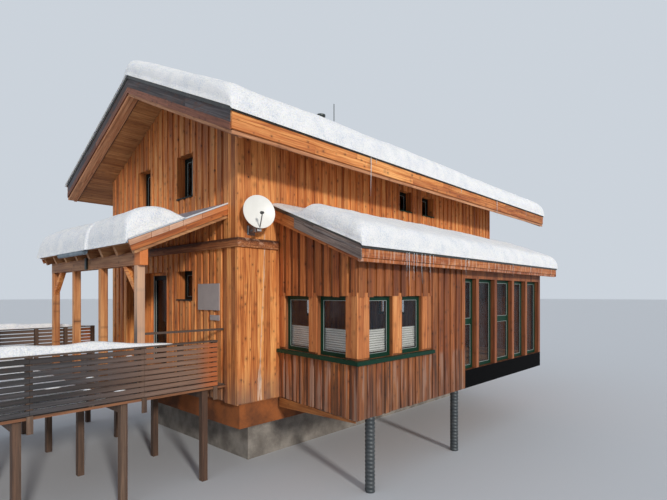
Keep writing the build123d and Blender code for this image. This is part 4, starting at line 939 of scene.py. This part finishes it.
# Porch posts on narrow feet, and the beam in two lengths
posts = Build(41)
for x in PORCH_POSTS:
    foot = DECK_TOP + 0.02
    posts.box((x - 0.07, PORCH_FRONT, foot), (x + 0.07, PORCH_FRONT + 0.14, BEAM_FOOT), 0.008)
    posts.box((x - 0.05, PORCH_FRONT + 0.02, DECK_TOP), (x + 0.05, PORCH_FRONT + 0.12, foot), 0.002, tone=0.1)
post_piece = posts.finish("porch_post_timber", post_wood)
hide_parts("porch_posts")

beam = Build(42)
beam_section = [(PORCH_FRONT, BEAM_FOOT), (PORCH_BACK, BEAM_FOOT), (PORCH_BACK, porch_z(PORCH_BACK, 0.305)),
                (PORCH_FRONT, porch_z(PORCH_FRONT, 0.305))]
for a, b in ((PORCH_BEAM[0], PORCH_JOINT - 0.006), (PORCH_JOINT + 0.006, PORCH_BEAM[1])):
    points = [Vector((x, y, z)) for x in (a, b) for y, z in beam_section]
    beam.prism(points, [Vector((p.x + beam.random.uniform(0, 0.01) + 7 * a, p.z, p.y)) for p in points], 0.5)
beam_piece = beam.finish("porch_beam_timber", beam_wood)
soften(beam_piece, 0.008)
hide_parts("porch_beam")

porch_soffit = Build(43)
x = PORCH_LEFT + PORCH_EDGE
while x < PORCH_RIGHT - PORCH_EDGE - 0.005:
    width = min(SOFFIT_WIDTH, PORCH_RIGHT - PORCH_EDGE - x)
    jump = porch_soffit.random.uniform(0, 30)
    places = [(reach, dx, h) for reach in (0.03, PORCH_REACH)
              for dx, h in ((0, 0.0855), (width, 0.0855), (width, 0.0975), (0, 0.0975))]
    porch_soffit.prism([(x + dx, -reach, porch_z(-reach, h)) for reach, dx, h in places],
                       [Vector((reach + jump, dx, h)) for reach, dx, h in places])
    x += SOFFIT_WIDTH + SOFFIT_GAP
porch_soffit.finish("porch_soffit_boards", soffit_wood)

# Fences: slats in lengths with a gap at their joints, and little lumps of snow on the right one
slats, lumps = Build(51), Build(52)
FENCE_JOINTS = (-5.265, -3.485, -1.745, -0.255)
SLATS, SLAT_HEIGHT, SLAT_PITCH = 9, 0.076, 0.096


def lump(build, centre, length, width, height):
    """A low mound of snow with its length along the slat."""
    rings, steps, count = [], 6, 10
    for k in range(steps + 1):
        t = k / steps
        swell = math.sin(math.pi * min(1, max(0.02, t * 0.96 + 0.02))) ** 0.6
        ring = []
        for i in range(count):
            turn = 2 * math.pi * i / count
            up = max(0.0, math.sin(turn)) * height * swell * build.random.uniform(0.85, 1.1)
            ring.append(centre + Vector((math.cos(turn) * width / 2 * swell, (t - 0.5) * length, up)))
        rings.append(ring)
    build.ring(rings)


for edge_x, turn in ((FENCE_RIGHT, 1), (FENCE_LEFT, -1)):
    for row in range(SLATS):
        low = DECK_TOP + 0.022 + row * SLAT_PITCH
        for a, b in zip(FENCE_JOINTS, FENCE_JOINTS[1:]):
            tilt = slats.random.uniform(-0.003, 0.003)
            slats.board(Vector((edge_x, 0, low + tilt)), DEPTH, UP, ACROSS * turn, (a + 0.002, b - 0.002),
                        SLAT_HEIGHT, 0.025, 0.006)
            if slats.random.random() < 0.5 and turn == 1 and a < -1.8:
                y = slats.random.uniform(a + 0.2, b - 0.2)
                lump(lumps, Vector((edge_x + 0.012, y, low + SLAT_HEIGHT)), slats.random.uniform(0.10, 0.34),
                     0.024, slats.random.uniform(0.008, 0.016))
slat_piece = slats.finish("fence_slat_boards", fence_wood)
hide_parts("fence_slats")
lumps.finish("fence_snow_lumps", snow_white, smooth=True)

# Deck boards, the last one shorter at the wall, and the feet of the fence posts with their bolts
deck = Build(53)
x = FENCE_LEFT
while x < -0.38:
    width = min(0.138, FENCE_RIGHT - x)
    back = 0.0 if x + width < -0.42 else -0.046
    deck.board(Vector((x, 0, DECK_TOP - 0.002)), DEPTH, ACROSS, UP, (-5.345, back), width, 0.006, 0.003)
    x += 0.144
deck.finish("deck_board_tops", deck_wood)
feet = Build(54)
for y in (0.30, 1.74, 3.48, 5.22):
    for edge_x, turn in ((FENCE_RIGHT, 1), (FENCE_LEFT, -1)):
        low, high = sorted((edge_x, edge_x + 0.024 * turn))
        feet.box((low, -y - 0.045, 1.615), (high, -y + 0.045, 1.884))
        for z in (1.70, 1.80):
            feet.rod(Vector((edge_x + 0.02 * turn, -y, z)), Vector((edge_x + 0.030 * turn, -y, z)), 0.010)
feet.finish("fence_post_feet", pier_wood)


# Snow. Without a seed of its own, Blender's noise_vector takes one from the clock.
noise.seed_set(61)
SNOW_LIFT = 0.003


def rounded_rows(reach, bulge, steps):
    """Places from an edge inwards, each with the part of the full depth that snow has there."""
    turns = [math.pi / 2 * k / steps for k in range(steps)]
    return [(reach * (1 - math.cos(t)) - bulge * math.sin(2 * t), math.sin(t) ** 0.85) for t in turns]


def edge_steps(length, start_round, end_round, spacing, bulge=0.03, steps=7, end_steps=None):
    """Places along a side with the snow's lift there, closer together where an edge is rounded."""
    level = length - end_round - start_round
    count = max(2, round(level / spacing))
    rows = rounded_rows(start_round, bulge, steps) if start_round else []
    rows += [(start_round + level * k / count, 1.0) for k in range(count + 1)]
    if end_round:
        rows += [(length - place, lift)
                 for place, lift in reversed(rounded_rows(end_round, bulge, end_steps or steps))]
    return rows


def denser(rows, low, high, spacing):
    """The same steps with more of them between low and high."""
    count = round((high - low) / spacing)
    between = [(low + (high - low) * k / count, 1.0) for k in range(count + 1)]
    return [row for row in rows if row[0] < low] + between + [row for row in rows if row[0] > high]


def blanket(build, a_rows, b_rows, place, depth, rough=1.0, seed=0.0):
    """A blanket of snow over a grid: place gives a point on the roof, depth how thick the snow is there.
    Its top is swollen and crusted, more so at its edges, and its underside lies on the roof."""
    count_a, count_b = len(a_rows), len(b_rows)
    top, under = [], []
    for a, lift_a in a_rows:
        for b, lift_b in b_rows:
            foot, thick, lift = place(a, b), depth(a, b), lift_a * lift_b
            point = foot + UP * thick * lift
            if lift > 0:
                probe = point + CORNER
                swell = noise.fractal(probe * 0.55 + Vector((seed, 0, 0)), 0.8, 2.0, 3)
                small = noise.noise_vector(probe * 4.5 + Vector((0, seed, 0)))
                crust = noise.noise_vector(probe * 15.0)
                amount = rough * min(1.0, thick * 3)
                edge = 1.0 - min(lift_a, lift_b)
                point += UP * swell * 0.035 * min(1, lift) * amount
                point += (small * (0.006 + 0.022 * edge) + crust * (0.002 + 0.012 * edge)) * amount
                point.z = max(point.z, foot.z + 0.004)
            top.append(point)
            under.append(foot)
    points, lower = list(top), []
    for k, foot in enumerate(under):
        on_rim = k // count_b in (0, count_a - 1) or k % count_b in (0, count_b - 1)
        if on_rim and (top[k] - foot).length < 1e-6:
            lower.append(k)
        else:
            lower.append(len(points))
            points.append(foot)
    faces = []
    for i in range(count_a - 1):
        for k in range(i * count_b, i * count_b + count_b - 1):
            quad = [k, k + count_b, k + count_b + 1, k + 1]
            faces += [quad, [lower[n] for n in reversed(quad)]]
    last_a, last_b = (count_a - 1) * count_b, count_b - 1
    rim = [(k, k + count_b) for start in (0, last_b) for k in range(start, start + last_a, count_b)]
    rim += [(k, k + 1) for start in (0, last_a) for k in range(start, start + last_b)]
    for p, q in rim:
        face = list(dict.fromkeys([p, q, lower[q], lower[p]]))
        if len(face) > 2:
            faces.append(face)
    build.add(points, faces, tone=0.5)


# On the main roof, with its ridge rounded off: deep to the right, a thin and melting cover to the left
main_snow = Build(61)
SNOW_OUT = 0.045
snow_half = SPAN + SNOW_OUT


def soft_ridge(x, radius=0.22):
    """How far snow lies under the sharp ridge where it rounds it off."""
    d = abs(x - RIDGE_X)
    return SLOPE * ((d * d + radius * radius) / (2 * radius) - d) if d < radius else 0.0


def main_place(a, b):
    x = RIDGE_X - snow_half + a
    over_metal = 0.030 * share((abs(x - RIDGE_X) - SPAN - 0.006) / 0.03)
    return Vector((x, VERGE_FRONT - SNOW_OUT + b, roof_z(x) + SNOW_LIFT - over_metal))


def main_depth(a, b):
    from_ridge = a - snow_half
    turn = share((from_ridge + 0.26) / 0.34)
    full = 0.065 + 0.375 * turn * turn * (3 - 2 * turn)
    return full - (0.03 * b / 14.9 + soft_ridge(RIDGE_X + from_ridge)) * turn


a_rows = denser(edge_steps(2 * snow_half, 0.08, 0.30, 0.10), snow_half - 0.45, snow_half + 0.35, 0.04)
b_rows = edge_steps(VERGE_REAR - VERGE_FRONT + 2 * SNOW_OUT, 0.26, 0.30, 0.10)
blanket(main_snow, a_rows, b_rows, main_place, main_depth, seed=3.1)
main_snow_piece = main_snow.finish("main_roof_snow", snow_white, smooth=True)

# On the annex roof: deep towards the eave, with a steep front
annex_snow = Build(62)


def annex_place(a, b):
    first, last = annex_y(a, ANNEX_VERGE - 0.03), ANNEX_ROOF_END + 0.04
    over_metal = 0.026 * share((a - ANNEX_EAVE - 0.006) / 0.03)
    return Vector((a, first + (last - first) * b, annex_z(a) + SNOW_LIFT - over_metal))


def annex_depth(a, b):
    rise = share((a - 0.82 - 0.12 * math.sin(b * 9)) / 0.50)
    return (0.07 + 0.30 * rise * rise * (3 - 2 * rise)) * (1 - 0.10 * b)


blanket(annex_snow, edge_steps(ANNEX_EAVE + 0.04, 0, 0.22, 0.08),
        edge_steps(1.0, 0.036, 0.026, 0.00938, bulge=0.002, steps=12, end_steps=8), annex_place, annex_depth,
        seed=7.7)
annex_snow_piece = annex_snow.finish("annex_roof_snow", snow_white, smooth=True)

# On the porch roof: a round heap at the eave, with a ridge across it where its left part has slumped
porch_snow = Build(63)
ridge_at = -2.11 - (PORCH_LEFT - 0.035)


def porch_place(a, b):
    y = -PORCH_REACH - 0.05 + b
    over_eave = 0.065 * share(1 - b / 0.042)
    ridge = 0.045 * math.exp(-((a - ridge_at) / 0.045) ** 2) * share((0.5 - b) / 0.3)
    return Vector((PORCH_LEFT - 0.035 + a, y - ridge, porch_z(y) + SNOW_LIFT - over_eave))


def porch_depth(a, b):
    back = share((b - 0.28) / 0.83)
    slump = 0.035 / (1 + math.exp((a - ridge_at) / 0.03))
    return (0.46 + 0.03 * math.sin(a * 1.3 + 0.6) - slump) * (1 - back * back)


a_rows = denser(edge_steps(PORCH_RIGHT - PORCH_LEFT + 0.06, 0.26, 0.22, 0.07), ridge_at - 0.16,
                ridge_at + 0.16, 0.02)
blanket(porch_snow, a_rows, edge_steps(1.12, 0.26, 0, 0.045, bulge=0.02), porch_place, porch_depth, seed=1.3)
porch_snow_piece = porch_snow.finish("porch_roof_snow", snow_white, smooth=True)
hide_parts("roof_snow")

# On the deck, and on the fence caps, where it thins out towards the house
terrace = Build(64)
blanket(terrace, edge_steps(6.345, 0.14, 0.14, 0.10), edge_steps(2.965, 0.12, 0.55, 0.09, bulge=0.0),
        lambda a, b: Vector((-6.81 + a, -5.265 + b, DECK_TOP + 0.004)),
        lambda a, b: 0.25 + 0.03 * math.sin(a * 2.1), seed=5.2)
CAP_WIDTH, CAP_TOP = 0.165, 2.792
for middle, run in ((-0.41, 4.05), (-6.865, 4.9)):
    blanket(terrace, edge_steps(CAP_WIDTH, 0.06, 0.06, 0.03, bulge=0.008, steps=5),
            edge_steps(run, 0.10, 0.05, 0.05, bulge=0.01, steps=8),
            lambda a, b: Vector((middle - CAP_WIDTH / 2 + a, -5.275 + b, CAP_TOP)),
            lambda a, b: (0.135 + 0.02 * math.sin(b * 5)) * min(1.0, (run - b) / 1.5 + 0.05),
            seed=middle, rough=0.6)
terrace_piece = terrace.finish("terrace_snow_cover", snow_white, smooth=True)
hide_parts("terrace_snow")

# Icicles, each with its place along the eave, its length and its radius
icicles = Build(65)
MAIN_ICICLES = ((2.85, 0.88, 0.016), (3.05, 0.12, 0.009), (9.56, 0.60, 0.015), (7.1, 0.16, 0.009),
                (12.1, 0.22, 0.010))
ANNEX_ICICLES = ((1.70, 0.46, 0.009), (1.78, 0.62, 0.010), (1.94, 0.52, 0.009), (2.03, 0.36, 0.008),
                 (2.21, 0.58, 0.010), (2.32, 0.30, 0.007), (2.50, 0.50, 0.009), (2.63, 0.26, 0.007),
                 (3.98, 0.38, 0.009), (4.12, 0.20, 0.007), (6.55, 0.32, 0.009), (7.80, 0.20, 0.008))


def icicle(x, y, z, length, radius, steps=9, count=8):
    rings = []
    for k in range(steps):
        t = k / (steps - 1)
        r = max(0.0012, 0.75 * radius * (1 - t) ** 0.8 * (1 + 0.18 * math.sin(t * 23 + x * 9)))
        centre = Vector((x, y, z - length * t))
        centre += Vector((math.sin(t * 5 + y * 7), math.cos(t * 4 + x * 5), 0)) * 0.006 * t
        turns = [2 * math.pi * i / count for i in range(count)]
        rings.append([centre + Vector((math.cos(turn), math.sin(turn), 0)) * r for turn in turns])
    icicles.ring(rings)


for x, z, row in ((1.075, roof_z(1.05, 0.06), MAIN_ICICLES), (2.825, annex_z(2.80, 0.06), ANNEX_ICICLES)):
    for y, length, radius in row:
        icicle(x, y, z, length, radius)
icicles.finish("eave_icicles", ice, smooth=True)

# Dish: its feed arm, head and bracket
dish = Build(71)
aim = Vector((0.9587, -0.2551, 0.1253))
dish_centre = Vector((0.303, 0.25, 5.323))
dish_side = aim.cross(UP).normalized()
dish_up = dish_side.cross(aim).normalized()
arm_foot = dish_centre - dish_up * 0.345 + aim * 0.02
head = dish_centre + aim * 0.34 - dish_up * 0.10 + dish_side * 0.06
dish.rod(arm_foot, head, 0.012)
dish.slab([arm_foot + dish_side * across + dish_up * up
           for across, up in ((0.05, -0.04), (-0.04, -0.04), (-0.04, 0.02), (0.05, 0.02))],
          -aim * 0.05, dish_side)
dish.finish("dish_feed_arm", bare_metal)
feed = Build(72)
feed.rod(head - dish_up * 0.012 + aim * 0.02, head - aim * 0.055 + dish_up * 0.01, 0.026, 14, 0.031)
feed.finish("dish_head", black_plastic_and_shadow)
bracket = Build(73)
bracket.box((0.03, 0.20, 4.91), (0.05, 0.36, 5.08))
bracket.box((0.15, 0.225, 4.94), (0.24, 0.335, 5.05), 0.006)
for y in (0.195, 0.363):
    for z in (4.915, 5.07):
        bracket.rod(Vector((0.028, y, z)), Vector((0.042, y, z)), 0.008)
for up in (-0.09, 0.09):
    middle = dish_centre - aim * 0.09 + dish_up * up
    bracket.rod(middle - dish_side * 0.07, middle + dish_side * 0.07, 0.012)
bracket.finish("dish_bracket", bare_metal)

# Columns under the annex, with a rib that winds round them
columns = Build(74)
COLUMN_X, COLUMN_TOP, COLUMN_RADIUS = 2.20, 1.44, 0.091
RIB_PITCH, RIB_HEIGHT = 0.075, 0.0045
STEPS, ROUND = 300, 40
for y in (1.40, 4.60):
    rings = []
    for z in [COLUMN_TOP * k / STEPS for k in range(STEPS + 1)]:
        ring = []
        for turn in [2 * math.pi * i / ROUND for i in range(ROUND)]:
            r = COLUMN_RADIUS + RIB_HEIGHT * math.sin(2 * math.pi * z / RIB_PITCH + turn)
            ring.append(Vector((COLUMN_X + math.cos(turn) * r, y + math.sin(turn) * r, z)))
        rings.append(ring)
    columns.ring(rings)
column_piece = columns.finish("ribbed_columns", ribbed_metal, smooth=True)
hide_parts("annex_columns")

# Screws on the bare sign and plate
screws = Build(75)
for l, r, b, t in ((-1.44, -0.62, 3.37, 3.93), (-0.96, -0.62, 3.16, 3.27)):
    for x in (l + 0.035, r - 0.035):
        for z in (b + 0.03, t - 0.03):
            screws.rod(Vector((x, -0.050, z)), Vector((x, -0.055, z)), 0.009, 12)
screws.finish("sign_screws", bare_metal)

# Materials of the solids that show
FINISHES = (
    (larch_wall, "front_wall_left front_wall_right front_gable_wall rear_wall side_wall_upper "
                 "side_wall_lower left_wall door_frame"),
    (annex_wall_larch, "annex_front_wall annex_side_wall annex_rear_wall"),
    (glazed_wood, "annex_glazed_frame"),
    (corner_larch, "corner_boards"),
    (belt_larch, "belt_beam"),
    (larch_x, "porch_braces"),
    (floor_wood, "house_floors annex_floor"),
    (roof_wood, "main_roof_right main_roof_left lean_to_roofs porch_rafters"),
    (bearer_wood, "deck_boards"),
    (pier_wood, "deck_bearers deck_piers fence_posts"),
    (deck_wood, "fence_rails"),
    (base_plaster, "foundation_slab"),
    (concrete, "plinth_walls"),
    (sheet_metal, "roof_metal"),
    (green_paint, "window_frames annex_window_sill"),
    (glass, "window_panes door_glass"),
    (door_paint, "door_leaf"),
    (bare_metal, "door_handle dish_arm"),
    (dark_metal, "roof_vent"),
    (dish_paint, "satellite_dish"),
    (sign_paint, "sign_board"),
)
for material, nodes in FINISHES:
    for node in nodes.split():
        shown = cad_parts[node]
        shown.data.materials.clear()
        shown.data.materials.append(material)

# Sky: a soft light on the object, and a pale backdrop for the camera, in metal and through glass
world = bpy.data.worlds.new("studio")
bpy.context.scene.world = world
world.use_nodes = True
sky = Nodes(world.node_tree)
sky.tree.nodes.clear()
ray = sky.node("ShaderNodeLightPath").outputs
seen = sky.math("MAXIMUM", ray["Is Camera Ray"],
                sky.math("MAXIMUM", ray["Is Glossy Ray"], ray["Is Transmission Ray"]))
soft_light = sky.node("ShaderNodeBackground", {0: (0.86, 0.92, 1.0, 1), 1: 0.55}).outputs[0]
backdrop = sky.node("ShaderNodeBackground", {0: (0.60, 0.65, 0.71, 1)}).outputs[0]
both = sky.node("ShaderNodeMixShader", {0: seen, 1: soft_light, 2: backdrop}).outputs[0]
sky.node("ShaderNodeOutputWorld", {0: both})

# Floor just under the object
FLOOR_HALF, FLOOR_Z = 400, -0.002
floor_mesh = bpy.data.meshes.new("studio_floor")
floor_mesh.from_pydata([(x * FLOOR_HALF, y * FLOOR_HALF, FLOOR_Z)
                        for x, y in ((-1, -1), (1, -1), (1, 1), (-1, 1))], [], [(0, 1, 2, 3)])
floor_mesh.materials.append(Shader("floor", Roughness=0.9, Base_Color=(0.62, 0.65, 0.69, 1)).mat)
floor_piece = bpy.data.objects.new("studio_floor", floor_mesh)
bpy.context.scene.collection.objects.link(floor_piece)


def lamp(name, direction, strength, degrees, colour):
    """A sun in the direction given, as wide as its angle in degrees."""
    data = bpy.data.lights.new(name, "SUN")
    data.energy, data.angle, data.color = strength, math.radians(degrees), colour
    made = bpy.data.objects.new(name, data)
    made.rotation_mode = "QUATERNION"
    made.rotation_quaternion = Vector(direction).to_track_quat("Z", "Y")
    bpy.context.scene.collection.objects.link(made)


lamp("key", (1.0, -0.33, 0.36), 2.05, 6, (1.0, 0.95, 0.88))
lamp("fill", (0.35, -0.9, 0.45), 0.22, 60, (0.97, 0.98, 1.0))

# The photo's own view: level, with the lens shifted up by so many of the photo's 667 columns
SHIFT_COLUMNS, PHOTO_COLUMNS = 44.5, 667
view_data = bpy.data.cameras.new("photo_view")
view_data.lens, view_data.sensor_width = 25.10, 36.0
view_data.shift_y = SHIFT_COLUMNS / PHOTO_COLUMNS
view_data.clip_end = 2000
camera = bpy.data.objects.new("photo_view", view_data)
camera.location = (9.843, -9.760, 3.70)
camera.rotation_euler = (math.radians(90), 0, math.radians(43.1))
bpy.context.scene.collection.objects.link(camera)
bpy.context.scene.camera = camera
bpy.context.scene.view_settings.view_transform = "Standard"
